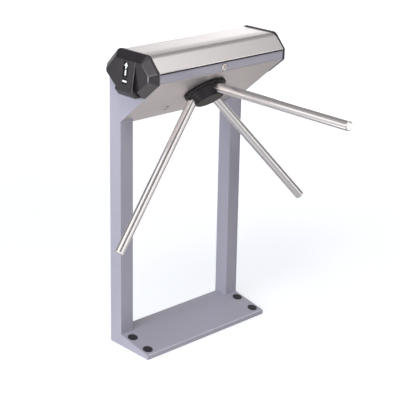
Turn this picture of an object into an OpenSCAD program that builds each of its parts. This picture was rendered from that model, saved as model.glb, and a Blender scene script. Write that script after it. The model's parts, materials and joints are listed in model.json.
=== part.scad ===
// Waist-high tripod turnstile on a portal stand.
// X runs along the head, front is -Y where the arms stand out, Z is up from the floor.
// The origin is on the floor at the centre of the four anchor holes.

/* [Stand] */
// Width over the outer faces of the two side cheeks
frame_w = 560; // [500:5:680]
// Thickness of the side cheek plates
cheek_t = 4; // [3:0.5:6]
// Width of a post and its cheek, seen from the front
post_w = 54; // [48:1:62]
// Depth of a post, front to back
post_d = 57; // [50:1:66]
// Wall of the post tube
post_wall = 3; // [2:0.5:4]
// Distance from the anchor centre back to the posts' front faces
post_front_y = 73; // [66:1:80]

/* [Base] */
// How far the base reaches in front of the posts
base_nose = 143; // [135:1:155]
// Height of the base's thin front edge
base_front_h = 16; // [14:1:20]
// Height of the base where it meets the posts
base_post_h = 43; // [38:1:50]
// Thickness of the folded base cover
base_skin_t = 2; // [1.5:0.5:3]
// Outer radius of the folds of the base cover
base_bend = 4; // [3:0.5:6]
// Thickness of the floor plate
base_plate_t = 6; // [5:0.5:8]
// Distance from the side of the frame in to an anchor's axis
anchor_side = 25; // [22:1:32]
// Front to back distance between anchors
anchor_pitch_y = 80; // [70:1:90]
// Radius of an anchor hole in the floor plate
anchor_hole_r = 7; // [5:0.5:8]
// Outer radius of the sleeve round an anchor
sleeve_r = 19; // [17:0.5:20]
// Wall of an anchor sleeve
sleeve_wall = 2; // [1.5:0.5:3]
// Radius of the head of an anchor plug
plug_head_r = 17.5; // [16:0.5:20]
// Height of a plug's head over the base
plug_head_h = 2; // [1.5:0.5:3]
// Radius of a plug's skirt
plug_skirt_r = 15; // [12:0.5:15.5]
// Depth of a plug's skirt
plug_skirt_h = 6; // [4:0.5:7]
// Wall of a plug's skirt
plug_wall = 2; // [1.5:0.5:3]
// Radius of the cable hole in the floor plate
cable_hole_r = 18; // [14:1:20]
// Radius of the cable passage in the grommet
grommet_r = 13; // [10:1:13.5]
// Width and height of the grommet's flange
grommet_lip = 2.5; // [2:0.5:3]

/* [Head] */
// Height of the front strip's lower edge over the floor
head_h = 976; // [920:1:1040]
// How far the head's front face stands ahead of the posts
head_reach = 193; // [186:1:202]
// Height of the vertical front of the head
strip_h = 38; // [36:1:42]
// Rise of the front slope of the top
slope_rise = 48; // [45:1:52]
// Run of the front slope of the top
slope_run = 44; // [40:1:48]
// Rise of the rear slope of the top
rear_rise = 59; // [54:1:62]
// Run of the rear slope of the top
rear_run = 58; // [52:1:62]
// Height of the vertical rear face of the head's outline
rear_wall_h = 30; // [26:1:34]
// Angle of the inclined front panel from level
panel_tilt = 40; // [39:0.5:41]
// How far the panel's face lies inside the cheeks' edges
panel_inset = 1; // [0.5:0.5:3]
// Thickness of the inclined panel
panel_t = 2; // [1.5:0.5:3]
// How far the panel runs on behind the posts' front faces
panel_tuck = 21; // [15:1:26]
// Thickness of the painted front rail and rear wall
wall_t = 2; // [1.5:0.5:3]
// Outer radius of the folds of the painted walls
wall_bend = 3; // [2.5:0.5:5]
// Depth of the front rail's top flange
rail_flange = 13; // [10:1:14]
// Length of the front rail's lower flange behind the panel
rail_foot = 16; // [12:1:20]

/* [Top cover] */
// Thickness of the top cover
cover_t = 1.5; // [1:0.25:2]
// Outer radius of the cover's two upper bends
cover_bend = 32; // [20:1:34]
// Outer radius of the cover's hems
hem_bend = 2.5; // [2.3:0.1:3]
// Height of the cover's front hem
front_hem = 1.5; // [1:0.25:2]
// Height of the cover's rear hem
rear_hem = 18; // [14:1:22]
// Gap between the cover and the cheeks' top edges
cover_gap = 0.5; // [0.4:0.1:0.7]
// Gap at each end of the cover
cover_end_gap = 0.3; // [0.2:0.1:0.6]
// Thickness of the seal under the front hem
seal_t = 2.6; // [2:0.2:3.4]
// Depth of the seal, front to back
seal_d = 10; // [8:1:12]
// Distance from the middle to each cover hinge
hinge_x = 150; // [120:5:180]
// Length of a cover hinge
hinge_l = 60; // [45:5:80]
// Radius of a hinge knuckle
knuckle_r = 3.5; // [3.2:0.1:4]
// Radius of a hinge pin
hinge_pin_r = 1.5; // [1.2:0.1:1.8]
// Thickness of a hinge leaf
leaf_t = 1.5; // [1:0.25:2]
// Height of the frame's hinge leaf
leaf_h = 26; // [20:1:32]
// Width of the catch under the cover
catch_w = 14; // [12:1:16]
// Thickness of the catch
catch_t = 2; // [1.5:0.5:2.5]
// Depth of the catch's foot
catch_foot = 11; // [10:0.5:12]
// Distance from the lock's axis to the catch's near edge
catch_x = 14; // [13:1:16]
// Distance from the head's front face to the catch
catch_y = 19; // [18:1:20]
// Distance from the lock's axis down to the catch's foot
catch_low = 5.5; // [5.3:0.2:7]

/* [End caps] */
// How far the cap's bottom lies below the front strip
cap_drop = 56; // [51:1:60]
// Width of the cap's straight rim
cap_rim = 8; // [6:0.5:10]
// How far a cap stands out from its cheek
cap_depth = 30; // [26:1:34]
// How far the cap's inner face is set in from its outline
cap_bevel = 22; // [18:1:24]
// Wall of a cap
cap_wall = 2.5; // [2:0.25:3]
// Width of the indicator band
band_w = 84; // [80:1:90]
// How far the band's lower edge stands out from the cheek
band_out = 45; // [42:1:50]
// Height of the band's lower edge above the cap's bottom
band_knee = 20; // [17:1:23]
// How far the band's foot stands out from the cheek
band_foot = 29; // [27:1:31]
// Wall of the band
band_wall = 2.5; // [2:0.25:3]
// Gap round the band in the cap
band_gap = 0.3; // [0.2:0.1:0.5]
// Width of the indicator windows
window_w = 25; // [23:1:28]
// Height of the arrow's window
window_h = 50; // [48:1:54]
// Height of the bar's window
bar_window_h = 18; // [16:1:20]
// Distance from the band's top edge to the arrow's window
window_top = 6; // [5:0.5:8]
// Distance between the two windows
window_pitch = 4; // [3:0.5:5]
// Thickness of the dark window plate
window_t = 1.5; // [1:0.25:2]
// Margin of the window plate round the windows
window_margin = 3; // [2:0.5:4]
// How far the lit symbols lie below the band's face
symbol_sink = 0.5; // [0.3:0.1:1]
// Width of the arrow head
arrow_w = 17; // [15:1:20]
// Height of the arrow head
arrow_h = 12; // [10:1:14]
// Width of the arrow's stem
stem_w = 6; // [5:0.5:8]
// Length of the stub below the arrow head
stub_h = 8; // [6:1:10]
// Length of the arrow's stem
stem_h = 18; // [14:1:20]
// Gap between the arrow's stub and stem
stem_gap = 4; // [3:0.5:5]
// Width of the bar
bar_w = 20; // [16:1:22]
// Height of the bar
bar_h = 6; // [5:0.5:8]
// Half the front to back distance between cap screws
boss_y = 58; // [54:1:60]
// Half the height between cap screws
boss_z = 38; // [34:1:40]
// Radius of a cap's screw boss
boss_r = 5; // [4:0.5:6]
// Radius of a cap screw
cap_screw_r = 2; // [1.5:0.25:2.25]
// Length of a cap screw
cap_screw_l = 16; // [12:1:18]

/* [Locks] */
// Radius of a lock's face ring
lock_face_r = 11.5; // [11:0.5:13]
// Height of a lock's face ring
lock_face_h = 3; // [2:0.5:4]
// Radius of a lock's barrel
lock_barrel_r = 9; // [8:0.5:9.5]
// Length of a lock's barrel behind the sheet
lock_barrel_l = 24; // [22:1:26]
// Radius of a lock's plug
lock_plug_r = 6; // [5:0.25:6.5]
// Running clearance round a lock's plug
lock_slack = 0.05; // [0.03:0.01:0.08]
// Height of a lock's nut
lock_nut_h = 4; // [3:0.5:5]
// Corner radius of a lock's nut
lock_nut_r = 13.5; // [12.5:0.5:14]
// Width of the key slot
key_w = 1.4; // [1:0.1:2]
// Length of the key slot
key_l = 7.5; // [6:0.5:9]
// Depth of the key slot
key_d = 8; // [5:0.5:10]
// Thickness of a lock's cam
cam_t = 2; // [1.5:0.5:3]
// Width of a lock's cam
cam_w = 10; // [9:0.5:10]
// Reach of a lock's cam
cam_l = 25; // [24:1:28]
// Radius of the tail that carries the cam
cam_tail_r = 3; // [2.5:0.25:3.5]
// Distance from the middle to the release lock
release_x = 104; // [98:1:112]
// Distance from the panel's lower edge up to the release lock
release_up = 57; // [52:1:58]

/* [Hub and arms] */
// Distance from the panel's lower edge up to the hub's axis
hub_up = 162; // [159:1:165]
// Depth of the point where the arms meet behind the panel's face
apex_sink = 24.5; // [24:0.5:25.5]
// Angle between an arm and the hub's axis
arm_angle = 49.5; // [48:0.5:50]
// Radius of the hub's flange
hub_flange_r = 75; // [70:1:80]
// Thickness of the hub's flange
hub_flange_t = 10; // [9:0.5:11]
// Gap between the flange and the panel
hub_gap = 1.5; // [1:0.5:2.5]
// Radius of the hub's body at the flange
hub_body_r = 64; // [60:1:66]
// Radius of the hub's end face
hub_end_r = 50; // [47:1:51]
// Height of the hub over the point where the arms meet
hub_h = 68; // [66:1:70]
// Rounding of the hub's edges
hub_round = 3; // [2:0.5:4]
// Radius of the hub's end plate
hub_cap_r = 42; // [38:1:44]
// Thickness of the hub's end plate
hub_cap_t = 2; // [1.5:0.5:3]
// Radius of an arm tube
arm_r = 16; // [14:0.5:16]
// Wall of an arm tube
arm_wall = 1.5; // [1:0.25:2]
// Distance from the meeting point out to an arm's tip
arm_l = 646; // [500:1:650]
// Distance from the meeting point to an arm's inner end
arm_root = 50; // [48:1:54]
// Skin left between an arm's socket and the flange's back
socket_floor = 2; // [1.5:0.5:3]
// Height of the dome on an arm's end plug
tip_dome = 3; // [2:0.5:5]
// Depth of an end plug in its tube
tip_depth = 14; // [10:1:20]

/* [Shaft and bearings] */
// Radius of the main shaft
shaft_r = 12.45; // [10:0.05:13]
// Running clearance between the shaft and its bearings
shaft_slack = 0.05; // [0.02:0.01:0.08]
// Radius of the flange that carries the hub
shaft_flange_r = 27; // [25:1:30]
// Thickness of that flange
shaft_flange_t = 7; // [6:0.5:8]
// Length of the shaft's nose in the hub
shaft_nose = 16; // [12:1:18]
// Outer radius of a bearing
bearing_r = 23.5; // [21:0.5:25]
// Width of a bearing
bearing_w = 12; // [9:1:13]
// Thickness of the mechanism plate
mech_t = 6; // [5:0.5:7]
// Distance from the meeting point to the plate's front face
mech_h = 2; // [0:0.5:4]
// Half the width of the mechanism plate
mech_x = 145; // [142:1:150]
// Reach of the mechanism plate towards the panel's lower edge
mech_low = 78; // [76:1:79]
// Reach of the mechanism plate towards the front strip
mech_high = 72; // [68:1:76]
// Radius of a standoff
standoff_r = 6; // [5:0.5:7]
// Distance from a standoff's axis to the plate's edges
standoff_edge = 12; // [10:1:14]
// Radius of the bearing housing's flange
housing_flange_r = 46; // [44:1:48]
// Thickness of the bearing housing's flange
housing_flange_t = 8; // [7:0.5:10]
// Radius of the bearing housing's barrel
housing_r = 31; // [29:0.5:33]
// Length of the bearing housing behind the plate
housing_l = 46; // [42:1:48]
// Radius of the circle of the housing's screws
housing_screw_pcr = 38.5; // [38:0.5:39]
// Radius of a housing screw
housing_screw_r = 3; // [2.5:0.5:3]
// Radius of a housing screw's head
housing_head_r = 5; // [4.5:0.5:5.5]
// Height of a housing screw's head
housing_head_h = 6; // [5:0.5:7]
// Radius of the circle of the hub's screws
hub_screw_pcr = 17; // [16.5:0.5:17.5]
// Radius of a hub screw
hub_screw_r = 3; // [2.5:0.5:3]
// Radius of a hub screw's head
hub_head_r = 5; // [4.5:0.5:5]
// Height of a hub screw's head
hub_head_h = 6; // [5:0.5:7]

/* [Index disc and pawls] */
// Radius of the index disc
disc_r = 46; // [44:1:48]
// Thickness of the index disc
disc_t = 6; // [5:0.5:7]
// Gap between the bearing housing and the disc's boss
disc_gap = 1; // [0.5:0.5:2]
// Radius of the boss of the disc and the cam
boss_disc_r = 18; // [16:1:20]
// Height of the boss on the disc
boss_disc_h = 4; // [3:0.5:5]
// Depth of a notch in the disc
notch_d = 8; // [7:0.5:9]
// Width of a notch in the disc
notch_w = 13; // [12:0.5:14]
// Distance from the middle to a pawl's pivot
pawl_x = 72; // [70:1:74]
// Height of a pawl's pivot over the hub's axis
pawl_y = 34; // [32:1:36]
// Radius of a pawl's hub
pawl_hub_r = 9; // [8:0.5:10]
// Radius of a pawl's pivot pin
pawl_pin_r = 5; // [4:0.5:5.5]
// Running clearance of the pivots
pivot_slack = 0.05; // [0.03:0.01:0.08]
// Width of a pawl's arms
pawl_w = 8; // [7:0.5:9]
// Thickness of a pawl's arms
pawl_t = 6; // [5:0.5:6]
// Gap between a lifted pawl's tooth and the disc
pawl_lift = 1; // [0.8:0.1:1.4]
// Reach of the pawl's tooth below its arm
tooth_h = 8; // [7:0.5:9]
// Width of the pawl's tooth
tooth_w = 7; // [6:0.5:7.5]
// Number of notches round the disc
notch_count = 12; // [12:12:12]
// Angle from a lifted tooth back to the notch that it drops into
notch_lag = 2; // [1.5:0.25:2.5]
// Half the width of a solenoid frame
solenoid_w = 14; // [13:0.5:15]
// Height of a solenoid frame over the plate
solenoid_h = 28; // [26:1:30]
// Length of a solenoid frame
solenoid_l = 42; // [38:1:44]
// Distance from the middle to a solenoid's inner end
solenoid_x = 94; // [93:0.5:95]
// Wall of a solenoid frame
solenoid_wall = 3; // [2:0.5:4]
// Radius of a solenoid's coil
coil_r = 12; // [11:0.5:13]
// Radius of a solenoid's plunger
plunger_r = 5; // [4:0.5:5.5]
// Radius of a plunger's nose
plunger_nose_r = 1.5; // [1.2:0.1:1.8]
// Length of a plunger's nose
plunger_nose_l = 5; // [4:0.5:6]
// Length of a plunger inside its coil
plunger_in = 24; // [20:1:28]
// Gap between a plunger's nose and the pawl's tail
plunger_gap = 0.4; // [0.3:0.1:0.6]

/* [Centring] */
// Radius of the centring cam's crests
cam_crest_r = 38; // [37:0.5:39]
// Depth of the centring cam's valleys
cam_valley = 8; // [7:0.5:9]
// Thickness of the centring cam
cam_disc_t = 10; // [9:0.5:11]
// Radius of the follower's roller
roller_r = 8; // [7:0.5:9]
// Gap between a crest and the lifted roller
roller_gap = 0.5; // [0.4:0.1:0.7]
// Radius of the roller's pin
roller_pin_r = 3; // [2.5:0.5:3.5]
// Distance from the middle to the follower's pivot
follower_x = 50; // [48:1:54]
// Distance of the follower's pivot below the hub's axis
follower_y = 58; // [56:1:60]
// Radius of the follower's pivot pin
follower_pin_r = 4; // [3.5:0.5:5]
// Radius of the follower's eyes
follower_eye_r = 9; // [8:0.5:9.5]
// Thickness of the follower lever
follower_t = 4; // [3:0.5:4.5]
// Thickness of the rear bridge
bridge_t = 5; // [4:0.5:6]
// Half the width of the rear bridge
bridge_x = 72; // [70:1:76]
// Reach of the rear bridge above the hub's axis
bridge_high = 22; // [20:1:26]
// Reach of the rear bridge below the hub's axis
bridge_low = 30; // [28:1:34]
// Radius of a bridge column
column_r = 5; // [4:0.5:6]
// Distance from the bridge's end to a column's axis
column_edge = 9; // [8:0.5:10]
// Distance of the columns below the hub's axis
column_y = 20; // [18:1:21]
// Radius of the rotary damper
damper_r = 27; // [24:1:30]
// Height of the rotary damper
damper_h = 20; // [16:1:22]
// Length of the shaft's stub in the damper
damper_stub = 14; // [10:1:15]

/* [Electrics] */
// Width of the position sensor
sensor_w = 16; // [14:1:18]
// Height of the position sensor
sensor_h = 20; // [18:1:22]
// Slot of the position sensor round the disc's edge
sensor_slot = 10; // [9:0.5:11]
// Overlap of the sensor and the disc's edge
sensor_bite = 5; // [4:0.5:6]
// Wall behind the sensor's slot
sensor_back = 8; // [6:0.5:10]
// Radius of the sensor's foot
sensor_foot_r = 4; // [3:0.5:5]
// Angle round the disc from +X to the sensor
sensor_angle = 205; // [200:1:210]
// Width of the control board
board_w = 150; // [120:5:170]
// Height of the control board
board_h = 90; // [80:5:95]
// Thickness of a circuit board
board_t = 1.6; // [1.2:0.2:2]
// Distance from the rear wall to the control board
board_off = 9; // [7:1:11]
// Distance from the middle to the control board's centre
board_x = 110; // [100:5:118]
// Distance from the panel's lower edge up to the control board
board_up = 40; // [35:1:60]
// Distance from a board's edges to its standoffs
board_edge = 6; // [5:0.5:7]
// Radius of a board standoff
board_post_r = 3; // [2.5:0.5:3.5]
// Half the width of an indicator board
led_board_y = 30; // [26:1:32]
// Half the height of an indicator board
led_board_z = 36; // [34:1:38]
// Distance from the cheek to an indicator board
led_board_off = 9; // [8:0.5:10]
// Radius of an indicator lamp
led_r = 2.5; // [2:0.5:3]
// Height of an indicator lamp
led_h = 6; // [5:0.5:7]

/* [Hidden] */

// Overrun of every cut
over = 1;
// Gap between parts that lie face to face without being joined
seat = 0.1;
// Thickness of the film that ends a blended shape
film = 0.02;
// Facets of a large circle and of a small one, and steps of a sheet's bend
round_fn = 72;
small_fn = 36;
bend_steps = 6;

half_w = frame_w / 2;
inner_x = half_w - cheek_t;
post_in_x = half_w - post_w;
post_rear_y = post_front_y + post_d;
base_front_y = post_front_y - base_nose;
anchor_x = half_w - anchor_side;
anchor_y = anchor_pitch_y / 2;
base_slope = atan((base_post_h - base_front_h) / base_nose);

head_front_y = post_front_y - head_reach;
eave_h = head_h + strip_h;
head_top_h = eave_h + slope_rise;
rear_eave_h = head_top_h - rear_rise;
rear_low_h = rear_eave_h - rear_wall_h;
cap_low_h = head_h - cap_drop;
gusset_h = head_h - head_reach * tan(panel_tilt);
cover_lap_h = rear_eave_h - rear_hem;
post_top_h = cover_lap_h - cover_t;
hem_low_h = eave_h - front_hem;
rail_top_h = hem_low_h - seal_t - seat * 2;
cap_mid_y = (head_front_y + post_rear_y) / 2;
cap_mid_h = (cap_low_h + head_top_h) / 2;

// The panel's face, as its height at a distance y from front to back
function panel_h(y, depth) =
    head_h - (y - head_front_y) * tan(panel_tilt) + (panel_inset + depth) / cos(panel_tilt);
panel_low_y = post_front_y + panel_tuck;
panel_low_h = panel_h(panel_low_y, 0);
panel_l = (panel_low_y - head_front_y) / cos(panel_tilt);

// The point where the arms meet, on the hub's axis
hub_tilt = 90 - panel_tilt;
apex_y = panel_low_y - hub_up * cos(panel_tilt) + apex_sink * sin(panel_tilt);
apex_h = panel_low_h + hub_up * sin(panel_tilt) + apex_sink * cos(panel_tilt);
flange_h = apex_sink + hub_gap;
mech_back_h = mech_h - mech_t;
housing_end_h = mech_back_h - housing_l;
disc_h = housing_end_h - disc_gap - boss_disc_h - disc_t;
centring_h = disc_h - boss_disc_h * 2 - cam_disc_t;
bridge_h = centring_h - follower_t * 2 - bridge_t;
solenoid_mid_h = mech_back_h - solenoid_h / 2;
roller_y = cam_crest_r + roller_r + roller_gap;
tooth_angle = 60 + notch_lag;
front_lock_h = (panel_h(head_front_y, 0) + rail_top_h) / 2;
rear_hinge_y = post_rear_y + knuckle_r;
rear_hinge_h = cover_lap_h - cover_gap;

// Steps along a bent line, in a plane
function dir2(p, q) = (q - p) / norm(q - p);
function left2(v) = [-v[1], v[0]];
function turn2(u, v) = sign(u[0] * v[1] - u[1] * v[0]);
function spin2(v, a) = [v[0] * cos(a) - v[1] * sin(a), v[0] * sin(a) + v[1] * cos(a)];
function corner(p0, p1, p2, r, d) =
    let(u = dir2(p0, p1), v = dir2(p1, p2), s = turn2(u, v), a = acos(u * v))
    r <= 0 || s == 0 ? [p1 + (left2(u) + left2(v)) * d / (1 + u * v)] :
    let(c = p1 - u * r * tan(a / 2) + left2(u) * r * s)
    [for (i = [0:bend_steps]) c - spin2(left2(u), s * a * i / bend_steps) * s * (r - d * s)];
function bent(p, r, d) =
    let(n = len(p) - 1)
    concat(
        [p[0] + left2(dir2(p[0], p[1])) * d],
        [for (i = [1:n - 1]) each corner(p[i - 1], p[i], p[i + 1], r[i], d)],
        [p[n] + left2(dir2(p[n - 1], p[n])) * d]
    );
function backwards(l) = [for (i = [len(l) - 1:-1:0]) l[i]];
// The outline of a sheet of thickness t that is bent along the line p
function sheet(p, r, t) = concat(bent(p, r, 0), backwards(bent(p, r, t)));
// A closed outline, moved in by d and rounded at its corners
function closed(p, r, d) =
    let(n = len(p))
    [for (i = [0:n - 1]) each corner(p[(i + n - 1) % n], p[i], p[(i + 1) % n], r[i], d)];
function ring(r, a) = [r * cos(a), r * sin(a)];

cover_line = [
    [post_rear_y, cover_lap_h], [post_rear_y, rear_eave_h], [post_rear_y - rear_run, head_top_h],
    [head_front_y + slope_run, head_top_h], [head_front_y, eave_h], [head_front_y, hem_low_h]
];
cover_bends = [0, hem_bend, cover_bend, cover_bend, hem_bend, 0];
cap_line = [
    [head_front_y + cap_drop / tan(panel_tilt), cap_low_h],
    [post_rear_y - (rear_low_h - cap_low_h) / tan(panel_tilt), cap_low_h],
    [post_rear_y, rear_low_h], [post_rear_y, rear_eave_h],
    [post_rear_y - rear_run, head_top_h], [head_front_y + slope_run, head_top_h],
    [head_front_y, eave_h], [head_front_y, head_h]
];
cap_rounds = [0, 0, 0, 0, cover_bend, cover_bend, 0, 0];
cap_face_rounds = [for (r = cap_rounds) r / 4];

// An outline of the side view, extruded along X from x0
module side_plate(x0, w) {
    translate([x0, 0, 0])
        rotate([90, 0, 90])
            linear_extrude(w) children();
}
// An outline of the front view, extruded along Y, centred on y0
module front_plate(y0, w) {
    translate([0, y0 + w / 2, 0])
        rotate([90, 0, 0])
            linear_extrude(w) children();
}
// Pieces made for the right side, moved to the left one
module on_left() {
    mirror([1, 0, 0]) children();
}
module both_sides() {
    children();
    on_left() children();
}
module tube(r, bore, h) {
    difference() {
        cylinder(r = r, h = h, $fn = small_fn);
        translate([0, 0, -over])
            cylinder(r = bore, h = h + over * 2, $fn = small_fn);
    }
}
module box_between(p, q) {
    translate(p) cube(q - p);
}
// The hub's frame: the origin where the arms meet, Z out along the hub's axis, Y up the panel
module at_hub() {
    translate([0, apex_y, apex_h])
        rotate([90 + hub_tilt, 0, 0]) children();
}
// An arm's frame: Z out along the arm, numbered from the one that bars the way
module at_arm(i) {
    at_hub()
        rotate([0, 0, 120 * i])
            rotate([-arm_angle, 0, 0]) children();
}
module at_anchors() {
    for (x = [-anchor_x, anchor_x], y = [-anchor_y, anchor_y])
        translate([x, y, 0]) children();
}
// The base cover's sloping top at an anchor, Z square to it
module at_plugs() {
    for (x = [-anchor_x, anchor_x], y = [-anchor_y, anchor_y])
        translate([x, y, base_post_h - (post_front_y - y) * tan(base_slope)])
            rotate([base_slope, 0, 0]) children();
}
module at_cap_screws() {
    for (y = [-boss_y, boss_y], z = [-boss_z, boss_z])
        translate([half_w, cap_mid_y + y, cap_mid_h + z])
            rotate([0, 90, 0]) children();
}
// The band's sloping face: X out of it, Z up along it from its top edge down
band_top_h = head_top_h - cap_bevel;
band_tilt = atan((band_out - cap_depth) / (band_top_h - cap_low_h - band_knee));
module at_band_face() {
    translate([half_w + cap_depth, cap_mid_y, band_top_h])
        rotate([0, -band_tilt, 0]) children();
}
module at_front_lock() {
    translate([0, head_front_y, front_lock_h])
        rotate([90, 0, 0]) children();
}
module at_release_lock() {
    at_hub()
        translate([-release_x, release_up - hub_up, apex_sink]) children();
}

// Sleeves round the anchors, cut off under the base cover's slope
module anchor_sleeves() {
    difference() {
        at_anchors()
            translate([0, 0, base_plate_t - film])
                tube(sleeve_r, sleeve_r - sleeve_wall, base_post_h - base_plate_t);
        translate([0, post_front_y, base_post_h])
            rotate([base_slope, 0, 0])
                translate([-half_w, -base_nose * 2, -base_skin_t - seat])
                    cube([frame_w, base_nose * 2 + post_d, base_post_h]);
    }
}
// Floor plate with its four anchor holes, their sleeves and the cable hole under the left post
module base_plate() {
    plate_y = base_front_y + base_skin_t + seat;
    plate_d = post_rear_y - base_skin_t - seat - plate_y;
    color("dimgray") anchor_sleeves();
    color("dimgray")
    difference() {
        translate([-inner_x, plate_y, 0])
            cube([inner_x * 2, plate_d, base_plate_t]);
        at_anchors()
            translate([0, 0, -over])
                cylinder(r = anchor_hole_r, h = base_plate_t + over * 2, $fn = small_fn);
        translate([-(post_in_x + inner_x) / 2, (post_front_y + post_rear_y) / 2, -over])
            cylinder(r = cable_hole_r, h = base_plate_t + over * 2, $fn = small_fn);
    }
}
// Folded cover with its sloping top, notched round the posts
base_line = [
    [post_rear_y, 0], [post_rear_y, base_post_h], [post_front_y, base_post_h],
    [base_front_y, base_front_h], [base_front_y, 0]
];
base_bends = [0, base_bend, 0, base_bend, 0];
module base_cover() {
    color("silver")
    difference() {
        side_plate(-inner_x, inner_x * 2)
            polygon(sheet(base_line, base_bends, base_skin_t));
        both_sides()
            box_between(
                [post_in_x - seat, post_front_y - seat, -over],
                [inner_x + over, post_rear_y + over, base_post_h + over]
            );
        at_plugs()
            translate([0, 0, -base_skin_t * 2])
                cylinder(r = plug_skirt_r + seat, h = base_skin_t * 4, $fn = small_fn);
    }
}
module anchor_plugs() {
    color("black")
    at_plugs()
        rotate_extrude($fn = small_fn)
            polygon([
                [0, 0], [plug_skirt_r - plug_wall, 0], [plug_skirt_r - plug_wall, -plug_skirt_h],
                [plug_skirt_r, -plug_skirt_h], [plug_skirt_r, 0], [plug_head_r, 0],
                [plug_head_r, plug_head_h / 2], [plug_head_r - plug_head_h / 2, plug_head_h],
                [0, plug_head_h]
            ]);
}
module cable_grommet() {
    color("black")
    translate([-(post_in_x + inner_x) / 2, (post_front_y + post_rear_y) / 2, 0])
        rotate_extrude($fn = small_fn)
            polygon([
                [grommet_r, base_plate_t / 4], [cable_hole_r - seat, base_plate_t / 4],
                [cable_hole_r - seat, base_plate_t + seat],
                [cable_hole_r + grommet_lip, base_plate_t + seat],
                [cable_hole_r + grommet_lip, base_plate_t + grommet_lip],
                [grommet_r, base_plate_t + grommet_lip]
            ]);
}

// One C-shaped plate: side of the base, outer face of the post, gusset and head
lap_d = cover_t + cover_gap;
cheek_line = concat(
    [
        [base_front_y, 0], [post_rear_y, 0], [post_rear_y, cover_lap_h - cover_gap],
        [post_rear_y - lap_d, cover_lap_h - cover_gap]
    ],
    bent(cover_line, cover_bends, lap_d),
    [
        [head_front_y + lap_d, hem_low_h - cover_gap], [head_front_y, hem_low_h - cover_gap],
        [head_front_y, head_h], [post_front_y, gusset_h], [post_front_y, base_post_h]
    ],
    corner([post_front_y, base_post_h], [base_front_y, base_front_h], [base_front_y, 0], base_bend, 0)
);
module right_cheek() {
    color("silver")
    difference() {
        side_plate(inner_x, cheek_t)
            polygon(cheek_line);
        at_cap_screws()
            translate([0, 0, -cheek_t - over])
                cylinder(r = cap_screw_r + seat, h = cheek_t + over * 2, $fn = small_fn);
    }
}
module left_cheek() {
    on_left() right_cheek();
}
// Rectangular post tube behind the cheek
module right_post() {
    color("silver")
    difference() {
        box_between([post_in_x, post_front_y, base_plate_t], [inner_x, post_rear_y, post_top_h]);
        box_between(
            [post_in_x + post_wall, post_front_y + post_wall, base_plate_t - over],
            [inner_x - post_wall, post_rear_y - post_wall, post_top_h + over]
        );
    }
}
module left_post() {
    on_left() right_post();
}

// Painted strip between the cover and the inclined panel
rail_foot_y = head_front_y + rail_foot * cos(panel_tilt);
rail_line = [
    [head_front_y + rail_flange, rail_top_h], [head_front_y, rail_top_h],
    [head_front_y, panel_h(head_front_y, panel_t + seat)], [rail_foot_y, panel_h(rail_foot_y, panel_t + seat)]
];
module front_rail() {
    color("silver")
    difference() {
        side_plate(-inner_x, inner_x * 2)
            polygon(sheet(rail_line, [0, wall_bend, 0, 0], wall_t));
        at_front_lock()
            translate([0, 0, -wall_t - over])
                cylinder(r = lock_barrel_r + seat, h = wall_t + over * 2, $fn = small_fn);
    }
}
// Brushed panel square to the hub's axis, narrowed where it passes between the posts
module inclined_panel() {
    notch_l = panel_tuck / cos(panel_tilt) + seat;
    shaft_hole_r = shaft_flange_r + standoff_r;
    color("lightgray")
    difference() {
        at_hub()
            translate([-inner_x, -hub_up, apex_sink - panel_t])
                cube([inner_x * 2, panel_l, panel_t]);
        both_sides()
            at_hub()
                translate([post_in_x - seat, -hub_up - over, apex_sink - panel_t * 2])
                    cube([post_w, notch_l + panel_t * tan(panel_tilt) + over, panel_t * 3]);
        at_hub()
            translate([0, 0, apex_sink - panel_t - over])
                cylinder(r = shaft_hole_r, h = panel_t + over * 2, $fn = round_fn);
        at_release_lock()
            translate([0, 0, -panel_t - over])
                cylinder(r = lock_barrel_r + seat, h = panel_t + over * 2, $fn = small_fn);
    }
}
// Rear wall between the posts, folded forward to meet the panel's lower edge
rear_line = [
    [panel_low_y + panel_t * sin(panel_tilt) + seat * 2, panel_low_h], [post_rear_y, panel_low_h],
    [post_rear_y, post_top_h]
];
module rear_wall() {
    color("silver")
    side_plate(-post_in_x + seat, (post_in_x - seat) * 2)
        polygon(sheet(rear_line, [0, wall_bend, 0], wall_t));
}
module cover_seal() {
    color("black")
    box_between(
        [-inner_x, head_front_y + seat, rail_top_h],
        [inner_x, head_front_y + seat + seal_d, rail_top_h + seal_t]
    );
}

// Stainless cover that laps over the cheeks' edges and opens about its rear hem
module top_cover() {
    color("gainsboro")
    side_plate(-half_w + cover_end_gap, frame_w - cover_end_gap * 2)
        polygon(sheet(cover_line, cover_bends, cover_t));
}
module at_hinges() {
    for (x = [-hinge_x, hinge_x])
        translate([x, rear_hinge_y, rear_hinge_h]) children();
}
// Knuckles of one length along X, centred on x0
module knuckle(x0, l) {
    translate([x0 - l / 2, 0, 0])
        rotate([0, 90, 0])
            cylinder(r = knuckle_r, h = l, $fn = small_fn);
}
module knuckle_bore(r) {
    translate([-hinge_l, 0, 0])
        rotate([0, 90, 0])
            cylinder(r = r, h = hinge_l * 2, $fn = small_fn);
}
knuckle_l = hinge_l / 3 - cover_gap;
module hinge_frame_leaves() {
    color("lightgray")
    at_hinges()
        difference() {
            union() {
                for (x = [-hinge_l / 3, hinge_l / 3]) {
                    knuckle(x, knuckle_l);
                    box_between(
                        [x - knuckle_l / 2, -knuckle_r, -leaf_h], [x + knuckle_l / 2, leaf_t - knuckle_r, 0]
                    );
                }
                box_between([-hinge_l / 2, -knuckle_r, -leaf_h], [hinge_l / 2, leaf_t - knuckle_r, -knuckle_r - over]);
            }
            knuckle_bore(hinge_pin_r);
        }
}
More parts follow.
